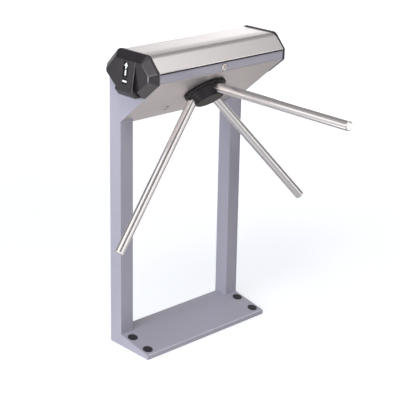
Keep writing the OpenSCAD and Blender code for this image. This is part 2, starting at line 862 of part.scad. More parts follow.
module hinge_cover_leaves() {
    leaf_up = rear_hem - hem_bend;
    color("lightgray")
    at_hinges()
        difference() {
            union() {
                knuckle(0, knuckle_l);
                box_between([-knuckle_l / 2, -knuckle_r, 0], [knuckle_l / 2, leaf_t - knuckle_r, leaf_up]);
                box_between([-hinge_l / 2, -knuckle_r, knuckle_r + over], [hinge_l / 2, leaf_t - knuckle_r, leaf_up]);
            }
            knuckle_bore(hinge_pin_r + pivot_slack);
        }
}
module hinge_pins() {
    color("lightgray")
    at_hinges()
        translate([-hinge_l / 2, 0, 0])
            rotate([0, 90, 0])
                cylinder(r = hinge_pin_r, h = hinge_l, $fn = small_fn);
}
// Hook under the cover that the front lock's cam passes over
module cover_catch() {
    y0 = head_front_y + catch_y;
    low = front_lock_h - catch_low - catch_t;
    top = eave_h + (catch_y + catch_t) * slope_rise / slope_run;
    slope = atan(slope_rise / slope_run);
    under = [head_front_y, eave_h] - [-sin(slope), cos(slope)] * (cover_t + seat / 2);
    color("gray")
    difference() {
        side_plate(catch_x, catch_w)
            polygon([
                [y0, low], [y0 + catch_foot, low], [y0 + catch_foot, low + catch_t],
                [y0 + catch_t, low + catch_t], [y0 + catch_t, top], [y0, top]
            ]);
        translate([catch_x - over, under[0], under[1]])
            rotate([slope, 0, 0])
                cube([catch_w + over * 2, slope_rise * 2, slope_rise]);
    }
}

// Octagonal cap: a straight rim and a bevel round a smaller face, open towards the cheek
module cap_blank(d) {
    hull() {
        side_plate(half_w, cap_rim)
            polygon(closed(cap_line, cap_rounds, d));
        side_plate(half_w + cap_depth - film - d, film)
            polygon(closed(closed(cap_line, [for (r = cap_rounds) 0], cap_bevel + d / 2), cap_face_rounds, 0));
    }
}
module right_end_cap() {
    window = band_w / 2 + band_gap;
    color("#2e2c30")
    difference() {
        union() {
            difference() {
                cap_blank(0);
                translate([-over * film, 0, 0])
                    cap_blank(cap_wall);
            }
            intersection() {
                cap_blank(seat);
                at_cap_screws()
                    cylinder(r = boss_r, h = cap_depth, $fn = small_fn);
            }
        }
        box_between(
            [half_w + cap_rim, cap_mid_y - window, cap_low_h - over],
            [half_w + band_out, cap_mid_y + window, band_top_h + band_gap]
        );
        at_cap_screws()
            translate([0, 0, -over])
                cylinder(r = cap_screw_r, h = cap_screw_l - cheek_t + over, $fn = small_fn);
    }
}
module left_end_cap() {
    on_left() right_end_cap();
}
module cap_screws() {
    color("gray")
    both_sides()
        at_cap_screws() {
            translate([0, 0, -cheek_t])
                cylinder(r = cap_screw_r - seat / 2, h = cap_screw_l - cap_screw_r, $fn = small_fn);
            translate([0, 0, -cheek_t - cap_screw_r])
                cylinder(r = cap_screw_r * 2, h = cap_screw_r, $fn = small_fn);
        }
}
// Wedge over the cap's face: flush with it at the top, standing out at its lower edge
module band_profile(d) {
    back = half_w + cap_rim - (d > 0 ? d + over : 0);
    polygon(closed(
        [
            [back, cap_low_h], [half_w + band_foot, cap_low_h],
            [half_w + band_out, cap_low_h + band_knee], [half_w + cap_depth, band_top_h],
            [back, band_top_h]
        ],
        [0, 0, 0, 0, 0], d
    ));
}
module right_indicator_band() {
    color("#2e2c30")
    difference() {
        front_plate(cap_mid_y, band_w) band_profile(0);
        front_plate(cap_mid_y, band_w - band_wall * 2) band_profile(band_wall);
        at_band_face() {
            box_between(
                [-band_wall * 2, -window_w / 2, -window_top - window_h],
                [over, window_w / 2, -window_top]
            );
            box_between(
                [-band_wall * 2, -window_w / 2, -window_top - window_h - window_pitch - bar_window_h],
                [over, window_w / 2, -window_top - window_h - window_pitch]
            );
        }
    }
}
module left_indicator_band() {
    on_left() right_indicator_band();
}
module indicator_windows() {
    low = window_top + window_h + window_pitch + bar_window_h + window_margin;
    back = -band_wall - seat;
    color("black")
    both_sides()
        at_band_face()
            box_between(
                [back - window_t, -window_w / 2 - window_margin, -low],
                [back, window_w / 2 + window_margin, window_margin - window_top]
            );
}
module indicator_symbols() {
    tip = -window_top - stem_gap / 2;
    stub = tip - arrow_h - stub_h;
    stem = stub - stem_gap - stem_h;
    bar = -window_top - window_h - window_pitch - bar_window_h / 2;
    color("white")
    both_sides()
        at_band_face()
            translate([-band_wall - seat, 0, 0])
                rotate([90, 0, 90])
                    linear_extrude(band_wall + seat - symbol_sink) {
                        polygon([
                            [0, tip], [-arrow_w / 2, tip - arrow_h], [-stem_w / 2, tip - arrow_h],
                            [-stem_w / 2, stub], [stem_w / 2, stub], [stem_w / 2, tip - arrow_h],
                            [arrow_w / 2, tip - arrow_h]
                        ]);
                        translate([-stem_w / 2, stem]) square([stem_w, stem_h]);
                        translate([-bar_w / 2, bar - bar_h / 2]) square([bar_w, bar_h]);
                    }
}
module at_led_posts() {
    for (y = [-1, 1], z = [-1, 1])
        translate([half_w, cap_mid_y + y * (led_board_y - board_edge), cap_mid_h + z * (led_board_z - board_edge)])
            rotate([0, 90, 0]) children();
}
module indicator_boards() {
    color("darkgreen")
    both_sides() {
        box_between(
            [half_w + led_board_off, cap_mid_y - led_board_y, cap_mid_h - led_board_z],
            [half_w + led_board_off + board_t, cap_mid_y + led_board_y, cap_mid_h + led_board_z]
        );
        for (z = [-1, 0, 1])
            translate([half_w + led_board_off, cap_mid_y, cap_mid_h + z * led_board_z / 2])
                rotate([0, 90, 0])
                    cylinder(r = led_r, h = board_t + led_h, $fn = small_fn);
    }
}
module at_board_posts() {
    for (x = [-1, 1], z = [0, 1])
        translate([
            board_x + x * (board_w / 2 - board_edge), post_rear_y - wall_t,
            panel_low_h + board_up + board_edge + z * (board_h - board_edge * 2)
        ])
            rotate([90, 0, 0]) children();
}
module board_standoffs() {
    color("goldenrod") {
        both_sides()
            at_led_posts() cylinder(r = board_post_r, h = led_board_off, $fn = small_fn);
        at_board_posts() cylinder(r = board_post_r, h = board_off, $fn = small_fn);
    }
}
// Control board with its relays, capacitors and terminal rows
module control_board() {
    y = post_rear_y - wall_t - board_off - board_t;
    z0 = panel_low_h + board_up;
    x0 = board_x - board_w / 2;
    cell = board_w / 6;
    deep = board_off + board_t;
    color("darkgreen") {
        translate([x0, y, z0]) cube([board_w, board_t, board_h]);
        for (i = [1:4])
            translate([x0 + i * cell, y - deep, z0 + board_h / 2])
                cube([cell * 0.6, deep, cell]);
        for (i = [1, 3])
            translate([x0 + i * cell + cell / 2, y, z0 + board_h / 3])
                rotate([90, 0, 0]) cylinder(r = cell / 4, h = deep * 1.5, $fn = small_fn);
        translate([x0 + cell, y - deep, z0 + board_edge / 2])
            cube([cell * 4, deep, board_edge * 2]);
    }
}

// Key lock: a face ring and a threaded barrel with its nut behind the sheet
module lock_body(sheet_t) {
    bore = lock_plug_r + lock_slack;
    difference() {
        union() {
            rotate_extrude($fn = small_fn)
                polygon([
                    [0, 0], [lock_face_r, 0], [lock_face_r, lock_face_h / 2],
                    [lock_face_r - lock_face_h / 2, lock_face_h], [0, lock_face_h]
                ]);
            translate([0, 0, -lock_barrel_l])
                cylinder(r = lock_barrel_r, h = lock_barrel_l, $fn = small_fn);
            translate([0, 0, -sheet_t - lock_nut_h])
                cylinder(r = lock_nut_r, h = lock_nut_h, $fn = 6);
        }
        translate([0, 0, -lock_barrel_l - over])
            cylinder(r = bore, h = lock_barrel_l + lock_face_h + over * 2, $fn = small_fn);
    }
}
module lock_plug() {
    difference() {
        union() {
            translate([0, 0, -lock_barrel_l - seat])
                cylinder(r = lock_plug_r, h = lock_barrel_l + lock_face_h, $fn = small_fn);
            translate([0, 0, -lock_barrel_l - cam_t * 2])
                cylinder(r = cam_tail_r, h = cam_t * 2, $fn = small_fn);
        }
        box_between(
            [-key_w / 2, -key_l / 2, lock_face_h - key_d],
            [key_w / 2, key_l / 2, lock_face_h + over]
        );
    }
}
// Cam on the plug's tail, pointing along +Y
module lock_cam() {
    translate([0, 0, -lock_barrel_l - seat * 2 - cam_t])
        linear_extrude(cam_t)
            difference() {
                union() {
                    circle(r = cam_w * 0.6, $fn = small_fn);
                    translate([-cam_w / 2, 0]) square([cam_w, cam_l]);
                }
                circle(r = cam_tail_r + lock_slack, $fn = small_fn);
            }
}
module front_lock_body() {
    color("lightgray") at_front_lock() lock_body(wall_t);
}
module front_lock_plug() {
    color("silver") at_front_lock() lock_plug();
}
module front_lock_cam() {
    color("gray") at_front_lock() lock_cam();
}
module release_lock_body() {
    color("lightgray") at_release_lock() lock_body(panel_t);
}
module release_lock_plug() {
    color("silver") at_release_lock() lock_plug();
}
module release_lock_cam() {
    color("gray") at_release_lock() rotate([0, 0, 90]) lock_cam();
}

// Mechanism plate behind the panel
module at_mech_corners() {
    for (x = [-1, 1], y = [standoff_edge - mech_low, mech_high - standoff_edge])
        at_hub()
            translate([x * (mech_x - standoff_edge), y, 0]) children();
}
module at_housing_screws() {
    for (i = [0:3])
        at_hub()
            rotate([0, 0, 45 + 90 * i])
                translate([housing_screw_pcr, 0, 0]) children();
}
module mechanism_plate() {
    color("gray")
    difference() {
        at_hub()
            translate([-mech_x, -mech_low, mech_back_h])
                cube([mech_x * 2, mech_low + mech_high, mech_t]);
        at_hub()
            translate([0, 0, mech_back_h - over])
                cylinder(r = shaft_flange_r, h = mech_t + over * 2, $fn = small_fn);
        at_housing_screws()
            translate([0, 0, mech_back_h - over])
                cylinder(r = housing_screw_r, h = mech_t + over * 2, $fn = small_fn);
    }
}
module mechanism_standoffs() {
    color("gray")
    at_mech_corners()
        translate([0, 0, mech_h])
            cylinder(r = standoff_r, h = apex_sink - panel_t - mech_h, $fn = small_fn);
}
module bearing_housing() {
    color("darkgray")
    difference() {
        at_hub() {
            translate([0, 0, mech_back_h - housing_flange_t])
                cylinder(r = housing_flange_r, h = housing_flange_t, $fn = round_fn);
            translate([0, 0, housing_end_h])
                cylinder(r = housing_r, h = housing_l, $fn = round_fn);
        }
        at_hub()
            translate([0, 0, housing_end_h - over])
                cylinder(r = bearing_r + seat / 5, h = housing_l + over * 2, $fn = round_fn);
        at_housing_screws()
            translate([0, 0, mech_back_h - housing_flange_t - over])
                cylinder(r = housing_screw_r + seat, h = housing_flange_t + over * 2, $fn = small_fn);
    }
}
module housing_screws() {
    color("dimgray")
    at_housing_screws() {
        translate([0, 0, mech_back_h - housing_flange_t])
            cylinder(r = housing_screw_r - seat / 2, h = housing_flange_t + mech_t, $fn = small_fn);
        translate([0, 0, mech_back_h - housing_flange_t - housing_head_h])
            cylinder(r = housing_head_r, h = housing_head_h, $fn = small_fn);
    }
}
module shaft_bearings() {
    color("lightsteelblue")
    at_hub()
        for (h = [mech_back_h - bearing_w, housing_end_h])
            translate([0, 0, h])
                tube(bearing_r, shaft_r + shaft_slack, bearing_w);
}

// Shaft: nose in the hub, flange, journals, seats of the disc and the cam, damper stub
nose_h = flange_h + shaft_nose;
stub_end_h = bridge_h - damper_stub;
module main_shaft() {
    color("silver")
    difference() {
        at_hub() {
            translate([0, 0, stub_end_h])
                cylinder(r = shaft_r, h = nose_h - stub_end_h, $fn = small_fn);
            translate([0, 0, flange_h - shaft_flange_t])
                cylinder(r = shaft_flange_r, h = shaft_flange_t, $fn = round_fn);
        }
        at_hub_screws()
            translate([0, 0, flange_h - shaft_flange_t - over])
                cylinder(r = hub_screw_r, h = shaft_flange_t + over * 2, $fn = small_fn);
    }
}
module at_hub_screws() {
    for (i = [0:2])
        at_hub()
            rotate([0, 0, 30 + 120 * i])
                translate([hub_screw_pcr + hub_screw_r, 0, 0]) children();
}
hub_seat_h = hub_h - hub_cap_t - seat;
screw_seat_h = hub_seat_h - hub_head_h - seat;
module hub_body() {
    r0 = hub_flange_r;
    z1 = flange_h + hub_flange_t;
    w = hub_round;
    color("#2a282b")
    difference() {
        at_hub()
            rotate_extrude($fn = round_fn)
                polygon(concat(
                    [[0, flange_h], [r0 - w, flange_h]],
                    [for (a = [-90:15:75]) [r0 - w, flange_h + w] + ring(w, a)],
                    [for (a = [60:10:90]) [r0 - w * 2, z1 - w * 2] + ring(w * 2, a)],
                    [[hub_body_r + w, z1]],
                    [for (a = [90:-15:0]) [hub_body_r + w, z1 + w] - ring(w, a)],
                    [for (a = [0:15:90]) [hub_end_r - w, hub_h - w] + ring(w, a)],
                    [[0, hub_h]]
                ));
        at_hub() {
            translate([0, 0, flange_h - over])
                cylinder(r = shaft_r + shaft_slack, h = shaft_nose + over, $fn = small_fn);
            translate([0, 0, hub_seat_h])
                cylinder(r = hub_cap_r + seat, h = hub_h, $fn = round_fn);
        }
        at_hub_screws() {
            translate([0, 0, flange_h - over])
                cylinder(r = hub_screw_r + seat, h = hub_h, $fn = small_fn);
            translate([0, 0, screw_seat_h])
                cylinder(r = hub_head_r + seat, h = hub_h, $fn = small_fn);
        }
        for (i = [0:2])
            arm_blank(i, arm_r + seat / 2, 0, arm_l);
    }
}
// An arm's round bar from its root out, cut off square to the hub's axis at the socket's floor
module arm_blank(i, r, bore, l) {
    difference() {
        at_arm(i)
            translate([0, 0, arm_root])
                cylinder(r = r, h = l - arm_root, $fn = small_fn);
        at_hub()
            translate([-hub_flange_r, -hub_flange_r, 0])
                cube([hub_flange_r * 2, hub_flange_r * 2, flange_h + socket_floor]);
        if (bore > 0)
            at_arm(i)
                cylinder(r = bore, h = l + over, $fn = small_fn);
    }
}
module hub_screws() {
    color("dimgray")
    at_hub_screws() {
        translate([0, 0, flange_h - shaft_flange_t])
            cylinder(r = hub_screw_r - seat / 2, h = screw_seat_h - flange_h + shaft_flange_t, $fn = small_fn);
        translate([0, 0, screw_seat_h])
            cylinder(r = hub_head_r, h = hub_head_h, $fn = small_fn);
    }
}
module hub_end_plate() {
    color("#45403c")
    at_hub()
        translate([0, 0, hub_seat_h])
            cylinder(r = hub_cap_r, h = hub_cap_t, $fn = round_fn);
}
module barrier_arm(i) {
    color("whitesmoke") arm_blank(i, arm_r, arm_r - arm_wall, arm_l - tip_dome);
}
module barrier_arm_1() {
    barrier_arm(0);
}
module barrier_arm_2() {
    barrier_arm(1);
}
module barrier_arm_3() {
    barrier_arm(2);
}
module arm_end_plugs() {
    bore = arm_r - arm_wall - seat / 2;
    color("lightgray")
    for (i = [0:2])
        at_arm(i)
            translate([0, 0, arm_l - tip_dome])
                rotate_extrude($fn = small_fn)
                    polygon([
                        [0, -tip_depth], [bore, -tip_depth], [bore, 0], [arm_r, 0],
                        [arm_r - tip_dome / 3, tip_dome * 2 / 3], [arm_r - tip_dome, tip_dome], [0, tip_dome]
                    ]);
}

// Index disc, notched every 30 degrees so that a pawl can hold a half-turned arm too
module index_disc() {
    color("darkgray")
    at_hub()
        difference() {
            union() {
                translate([0, 0, disc_h])
                    cylinder(r = disc_r, h = disc_t, $fn = round_fn);
                translate([0, 0, disc_h - boss_disc_h])
                    cylinder(r = boss_disc_r, h = disc_t + boss_disc_h * 2, $fn = small_fn);
            }
            translate([0, 0, disc_h - boss_disc_h - over])
                cylinder(r = shaft_r + shaft_slack, h = disc_t + boss_disc_h * 2 + over * 2, $fn = small_fn);
            for (i = [1:notch_count])
                rotate([0, 0, i * 360 / notch_count])
                    translate([disc_r - notch_d, -notch_w / 2, disc_h - over])
                        cube([notch_d * 2, notch_w, disc_t + over * 2]);
        }
}
// Three-lobed cam that brings the arms back to rest
lobe_mid_r = cam_crest_r - cam_valley / 2;
module centring_cam() {
    color("darkgray")
    at_hub()
        translate([0, 0, centring_h])
            difference() {
                linear_extrude(cam_disc_t)
                    polygon([
                        for (a = [0:5:355])
                            ring(lobe_mid_r - cos(3 * (a + 90)) * cam_valley / 2, a)
                    ]);
                translate([0, 0, -over])
                    cylinder(r = shaft_r + shaft_slack, h = cam_disc_t + over * 2, $fn = small_fn);
            }
}

// The pawl's tooth, in the frame of its pivot
tooth_at = ring(disc_r + pawl_lift, tooth_angle) - [pawl_x, pawl_y];
pawl_tail_y = -pawl_y;
module at_pawl() {
    at_hub() translate([pawl_x, pawl_y, 0]) children();
}
module pawl_shape() {
    eye = pawl_hub_r;
    arm_mid = tooth_at + ring(tooth_h, tooth_angle);
    at_pawl() {
        difference() {
            union() {
                translate([0, 0, disc_h])
                    cylinder(r = eye, h = mech_back_h - over - disc_h, $fn = small_fn);
                translate([0, 0, disc_h])
                    linear_extrude(pawl_t)
                        polygon([
                            [0, -pawl_w / 2], [0, pawl_w], arm_mid + ring(pawl_w, tooth_angle),
                            arm_mid + ring(pawl_w, tooth_angle) + ring(tooth_w / 2, tooth_angle + 90),
                            tooth_at + ring(tooth_w / 2, tooth_angle + 90),
                            tooth_at + ring(tooth_w / 2, tooth_angle - 90),
                            arm_mid + ring(tooth_w / 2, tooth_angle - 90)
                        ]);
                translate([-pawl_w / 2, pawl_tail_y - pawl_w / 2, solenoid_mid_h - pawl_t / 2])
                    cube([pawl_w, -pawl_tail_y + pawl_w / 2, pawl_t]);
            }
            translate([0, 0, disc_h - over])
                cylinder(r = pawl_pin_r + pivot_slack, h = mech_back_h - disc_h + over * 2, $fn = small_fn);
        }
    }
}
module entry_pawl() {
    color("tan") pawl_shape();
}
module exit_pawl() {
    color("tan") on_left() pawl_shape();
}
// Fixed pins of the two pawls and of the centring follower
module pivot_pins() {
    pawl_end = disc_h - over;
    follower_end = centring_h - follower_t * 1.5;
    color("silver") {
        both_sides()
            at_pawl()
                translate([0, 0, pawl_end])
                    cylinder(r = pawl_pin_r, h = mech_back_h - pawl_end, $fn = small_fn);
        at_hub()
            translate([follower_x, -follower_y, follower_end])
                cylinder(r = follower_pin_r, h = mech_back_h - follower_end, $fn = small_fn);
    }
}
module at_solenoid() {
    at_hub()
        translate([solenoid_x, 0, solenoid_mid_h])
            rotate([0, 90, 0]) children();
}
module solenoid_frames() {
    color("lightslategray")
    both_sides()
        difference() {
            at_hub()
                translate([solenoid_x, -solenoid_w, mech_back_h - solenoid_h])
                    cube([solenoid_l, solenoid_w * 2, solenoid_h]);
            at_hub()
                translate([solenoid_x + solenoid_wall, -solenoid_w - over, mech_back_h - solenoid_h - over])
                    cube([
                        solenoid_l - solenoid_wall * 2, (solenoid_w + over) * 2,
                        solenoid_h - solenoid_wall + over
                    ]);
            at_solenoid()
                translate([0, 0, -over])
                    cylinder(r = plunger_r + seat * 2, h = solenoid_wall + over * 2, $fn = small_fn);
        }
}
module solenoid_coils() {
    l = solenoid_l - (solenoid_wall + seat) * 2;
    color("saddlebrown")
    both_sides()
        at_solenoid()
            translate([0, 0, solenoid_wall + seat])
                difference() {
                    cylinder(r = coil_r - solenoid_wall / 3, h = l, $fn = small_fn);
                    translate([0, 0, -over])
                        cylinder(r = plunger_r + seat * 2, h = l - solenoid_wall, $fn = small_fn);
                }
}
module plunger() {
    nose_x = pawl_x + pawl_w / 2 + plunger_gap;
    at_hub()
        translate([0, 0, solenoid_mid_h])
            rotate([0, 90, 0]) {
                translate([0, 0, nose_x])
                    cylinder(r = plunger_nose_r, h = plunger_nose_l, $fn = small_fn);
                translate([0, 0, nose_x + plunger_nose_l])
                    cylinder(
                        r = plunger_r, h = solenoid_x + plunger_in - nose_x - plunger_nose_l, $fn = small_fn
                    );
            }
}
module entry_plunger() {
    color("silver") plunger();
}
module exit_plunger() {
    color("silver") on_left() plunger();
}
// Lever with the roller that rides on the centring cam, held clear of its crests
follower_h = centring_h - follower_t - seat * 2;
module follower_lever() {
    color("tan")
    at_hub() {
        difference() {
            union() {
                translate([0, 0, follower_h])
                    linear_extrude(follower_t)
                        union() {
                            translate([follower_x, -follower_y]) circle(r = follower_eye_r, $fn = small_fn);
                            translate([0, -roller_y]) circle(r = roller_pin_r * 2, $fn = small_fn);
                            polygon([
                                [follower_x, -follower_y - roller_pin_r * 2],
                                [follower_x, -follower_y + roller_pin_r * 2],
                                [0, -roller_y + roller_pin_r * 1.5], [0, -roller_y - roller_pin_r * 1.5]
                            ]);
                        }
            }
            translate([follower_x, -follower_y, follower_h - over])
                cylinder(r = follower_pin_r + pivot_slack, h = follower_t + over * 2, $fn = small_fn);
        }
        translate([0, -roller_y, follower_h + follower_t])
            cylinder(r = roller_pin_r, h = cam_disc_t + seat * 4, $fn = small_fn);
        translate([0, -roller_y, centring_h + cam_disc_t + seat * 2])
            cylinder(r = roller_pin_r + over, h = over, $fn = small_fn);
    }
}
module follower_roller() {
    color("white")
    at_hub()
        translate([0, -roller_y, centring_h])
            tube(roller_r, roller_pin_r + pivot_slack, cam_disc_t);
}
// Bridge behind the cams, on its two columns from the mechanism plate
module rear_bridge() {
    color("gray")
    at_hub()
        difference() {
            union() {
                translate([-bridge_x, -bridge_low, bridge_h])
                    cube([bridge_x * 2, bridge_low + bridge_high, bridge_t]);
                for (x = [-1, 1])
                    translate([x * (bridge_x - column_edge), -column_y, bridge_h])
                        cylinder(r = column_r, h = mech_back_h - bridge_h, $fn = small_fn);
            }
            translate([0, 0, bridge_h - over])
                cylinder(r = shaft_r + over, h = bridge_t + over * 2, $fn = small_fn);
        }
}
module rotary_damper() {
    color("dimgray")
    at_hub()
        difference() {
            translate([0, 0, bridge_h - damper_h])
                cylinder(r = damper_r, h = damper_h, $fn = round_fn);
            translate([0, 0, stub_end_h - over])
                cylinder(r = shaft_r + shaft_slack, h = damper_h, $fn = small_fn);
        }
}
// Fork round the disc's edge, on a foot from the mechanism plate
module position_sensor() {
    h0 = disc_h + disc_t / 2;
    x0 = disc_r - sensor_bite;
    l = sensor_bite + pawl_lift + sensor_back;
    color("#202020")
    at_hub()
        rotate([0, 0, sensor_angle])
            difference() {
                union() {
                    translate([x0, -sensor_w / 2, h0 - sensor_h / 2]) cube([l, sensor_w, sensor_h]);
                    translate([x0 + l - sensor_foot_r, 0, h0])
                        cylinder(r = sensor_foot_r, h = mech_back_h - h0, $fn = small_fn);
                }
                translate([x0 - over, -sensor_w, h0 - sensor_slot / 2])
                    cube([sensor_bite + pawl_lift + over, sensor_w * 2, sensor_slot]);
            }
}

base_plate();
base_cover();
anchor_plugs();
cable_grommet();
left_cheek();
right_cheek();
left_post();
right_post();
front_rail();
inclined_panel();
rear_wall();
cover_seal();
left_end_cap();
right_end_cap();
cap_screws();
left_indicator_band();
right_indicator_band();
indicator_windows();
indicator_symbols();
indicator_boards();
board_standoffs();
control_board();
hinge_frame_leaves();
hinge_pins();
hinge_cover_leaves();
top_cover();
cover_catch();
front_lock_body();
front_lock_plug();
front_lock_cam();
release_lock_body();
release_lock_plug();
release_lock_cam();
mechanism_plate();
mechanism_standoffs();
bearing_housing();
housing_screws();
shaft_bearings();
solenoid_frames();
solenoid_coils();
entry_plunger();
exit_plunger();
pivot_pins();
entry_pawl();
exit_pawl();
follower_lever();
follower_roller();
rear_bridge();
rotary_damper();
position_sensor();
main_shaft();
index_disc();
centring_cam();
hub_body();
hub_screws();
hub_end_plate();
barrier_arm_1();
barrier_arm_2();
barrier_arm_3();
arm_end_plugs();
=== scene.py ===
# %% [markdown]
# # A tripod turnstile, dressed round its CAD frame
#
# The object is a waist-high turnstile: a folded head on two painted posts, a low folded base, and
# three polished arms on a tilted hub. The CAD model gives every size and every joint. This file
# only makes its surfaces: rounded edges where sheet metal and mouldings have them, true round
# tubes, and a finish for each material. Shapes are written in millimetres, as on a drawing, and
# MM turns them into the metres of the scene.

import json
from math import acos, atan, cos, pi, radians, sin, tan

import bmesh
import bpy
from mathutils import Matrix, Vector


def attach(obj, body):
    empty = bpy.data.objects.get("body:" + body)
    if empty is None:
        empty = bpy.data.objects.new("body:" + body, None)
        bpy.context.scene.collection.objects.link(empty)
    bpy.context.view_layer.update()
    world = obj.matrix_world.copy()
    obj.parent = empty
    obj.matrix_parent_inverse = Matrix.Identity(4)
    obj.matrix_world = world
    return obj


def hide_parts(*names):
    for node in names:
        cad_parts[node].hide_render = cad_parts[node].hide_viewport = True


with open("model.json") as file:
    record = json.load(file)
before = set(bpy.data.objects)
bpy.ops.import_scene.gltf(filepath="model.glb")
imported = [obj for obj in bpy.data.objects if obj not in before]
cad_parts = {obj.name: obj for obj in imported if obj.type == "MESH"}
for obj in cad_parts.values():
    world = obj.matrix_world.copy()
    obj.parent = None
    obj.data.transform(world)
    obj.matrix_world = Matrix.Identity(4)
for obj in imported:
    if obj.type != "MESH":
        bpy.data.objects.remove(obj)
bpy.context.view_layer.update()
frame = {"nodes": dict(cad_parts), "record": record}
nodes = frame["nodes"]
MM = 0.001

# %% [markdown]
# ## Colours and nodes
#
# A colour picked from a picture is sRGB, and a shader wants linear light. One function turns the
# one into the other. Another adds a shader node: its keywords are the node's settings, and its
# inputs are either plain values or the sockets of other nodes, so a whole finish reads from top
# to bottom. Three short ones add the nodes that are needed most: a ramp that stretches one range
# over another, a mix of two colours, and a sum.


# %% Colour and node helpers
def linear(hex_code):
    """An sRGB hex colour as linear RGBA."""
    parts = [int(hex_code[i : i + 2], 16) / 255 for i in (1, 3, 5)]
    return [p / 12.92 if p <= 0.04045 else ((p + 0.055) / 1.055) ** 2.4 for p in parts] + [1]


def add_node(tree, kind, inputs=None, **settings):
    """Add a shader node, set it up, and give each input a value or the socket that feeds it."""
    node = tree.nodes.new(kind)
    for name, value in settings.items():
        setattr(node, name, value)
    for name, value in (inputs or {}).items():
        if isinstance(value, bpy.types.NodeSocket):
            tree.links.new(value, node.inputs[name])
        else:
            node.inputs[name].default_value = value
    return node


def ramp(tree, value, low, high, to_low=0.0, to_high=1.0, shape="LINEAR"):
    """Stretch the range from low to high over the one from to_low to to_high."""
    ends = {"From Min": low, "From Max": high, "To Min": to_low, "To Max": to_high}
    inputs = {"Value": value, **ends}
    node = add_node(tree, "ShaderNodeMapRange", inputs, interpolation_type=shape)
    return node.outputs["Result"]


def mixed(tree, share, first, second):
    """A colour that goes from the first to the second as share goes from 0 to 1."""
    inputs = {"Factor": share, 6: first, 7: second}
    return add_node(tree, "ShaderNodeMix", inputs, data_type="RGBA").outputs[2]


def worked_out(tree, operation, *values):
    """The result of a sum with plain numbers or sockets."""
    inputs = dict(enumerate(values))
    return add_node(tree, "ShaderNodeMath", inputs, operation=operation).outputs[0]


def new_material(name, **surface):
    """A material whose constants sit on the shader's own sockets."""
    material = bpy.data.materials.new(name)
    material.use_nodes = True
    shader = material.node_tree.nodes["Principled BSDF"]
    for socket, value in surface.items():
        shader.inputs[socket.replace("_", " ")].default_value = value
    return material, material.node_tree, shader


print("#808080 is", round(linear("#808080")[0], 3), "in linear light")

# %% [markdown]
# ## Grain, tone, gloss and relief
#
# Every finish here is a pattern that does three small jobs at once: it shifts the colour between
# two tones, it varies the gloss, and it raises the surface. The pattern is a noise whose grains
# have a real size in millimetres. A noise seldom leaves the middle of its range, so that middle
# is stretched over the whole change. Image textures would do this too, but a noise has no seams
# and needs no file.

# %% Pattern helpers
NOISE_LOW, NOISE_HIGH = 0.3, 0.7  # a noise spends nearly all of its time between these


def noise(tree, size_mm, detail=2.0):
    """A noise whose grains measure size_mm along X, Y and Z of the object."""
    place = add_node(tree, "ShaderNodeTexCoord")
    scaled = add_node(
        tree,
        "ShaderNodeMapping",
        {"Vector": place.outputs["Object"], "Scale": [1 / (s * MM) for s in size_mm]},
    )
    grains = add_node(
        tree,
        "ShaderNodeTexNoise",
        {"Vector": scaled.outputs["Vector"], "Scale": 1.0, "Detail": detail},
    )
    return grains.outputs["Fac"]


def two_tone(tree, pattern, dark, light):
    """A colour that runs between two sRGB colours as the pattern does."""
    share = ramp(tree, pattern, NOISE_LOW, NOISE_HIGH)
    return mixed(tree, share, linear(dark), linear(light))


def vary_roughness(tree, shader, pattern, low, high):
    """Let the gloss follow a pattern."""
    gloss = ramp(tree, pattern, NOISE_LOW, NOISE_HIGH, low, high)
    tree.links.new(gloss, shader.inputs["Roughness"])


def raise_pattern(tree, shader, pattern, depth_mm, strength):
    """Raise the surface by a pattern that is depth_mm from its lowest to its highest point."""
    bump = add_node(
        tree,
        "ShaderNodeBump",
        {"Height": pattern, "Distance": depth_mm * MM, "Strength": strength},
    )
    tree.links.new(bump.outputs["Normal"], shader.inputs["Normal"])


print("patterns run from", NOISE_LOW, "to", NOISE_HIGH)

# %% [markdown]
# ## Painted edge highlights
#
# A rounded edge catches the light in a thin bright line. Here that line is painted: along the
# edges on one side of a piece the colour turns lighter, in patches of some centimetres. A mask by
# curvature would lighten every edge. Here the meshes that are made below mark the bevels on that
# side, with a face attribute, and the finish reads that mark.


# %% Painted edge highlight
PATCH_MM, LEAST_HIGHLIGHT = 25, 0.55


def highlighted(tree, colour, highlight_colour):
    """The colour, painted lighter in patches on the faces that the mesh marks: a painted highlight.
    """
    edge = add_node(tree, "ShaderNodeAttribute", attribute_name="highlit_edge").outputs["Fac"]
    patches = ramp(tree, noise(tree, (PATCH_MM,) * 3), NOISE_LOW, NOISE_HIGH, LEAST_HIGHLIGHT)
    edge_light = worked_out(tree, "MULTIPLY", edge, patches)
    return mixed(tree, edge_light, colour, linear(highlight_colour))


print("rubbed in patches of", PATCH_MM, "mm where a face has the attribute highlit_edge")

# %% [markdown]
# ## Silver-grey powder coat
#
# The posts, the base and the strip under the cover are steel with powder coat: a polyester
# powder, sprayed on dry and melted into a skin. It is satin, a little cooler than grey, with a
# fine orange peel and a trace of metal flake, for which it is given a little of a metal's shine.
# The peel of a real coat is about 0.5 mm across. That is far finer than a pixel here, so it is
# drawn 3 mm across and very shallow, and the flake, really a tenth of a millimetre, is drawn 1.4
# mm across.

# %% Powder coat
powder_coat, tree, shader = new_material(
    "powder_coat_silver", Roughness=0.3, IOR=1.5, Metallic=0.15
)
peel = noise(tree, (3, 3, 3))
flake = noise(tree, (1.4, 1.4, 1.4), detail=0.0)
coat = two_tone(tree, flake, "#b1b1be", "#b9b9c6")
# the marked edges get a painted highlight, a near-white coat colour
tree.links.new(highlighted(tree, coat, "#e6e6ef"), shader.inputs["Base Color"])
raise_pattern(tree, shader, peel, 0.02, 0.6)
print(powder_coat.name)

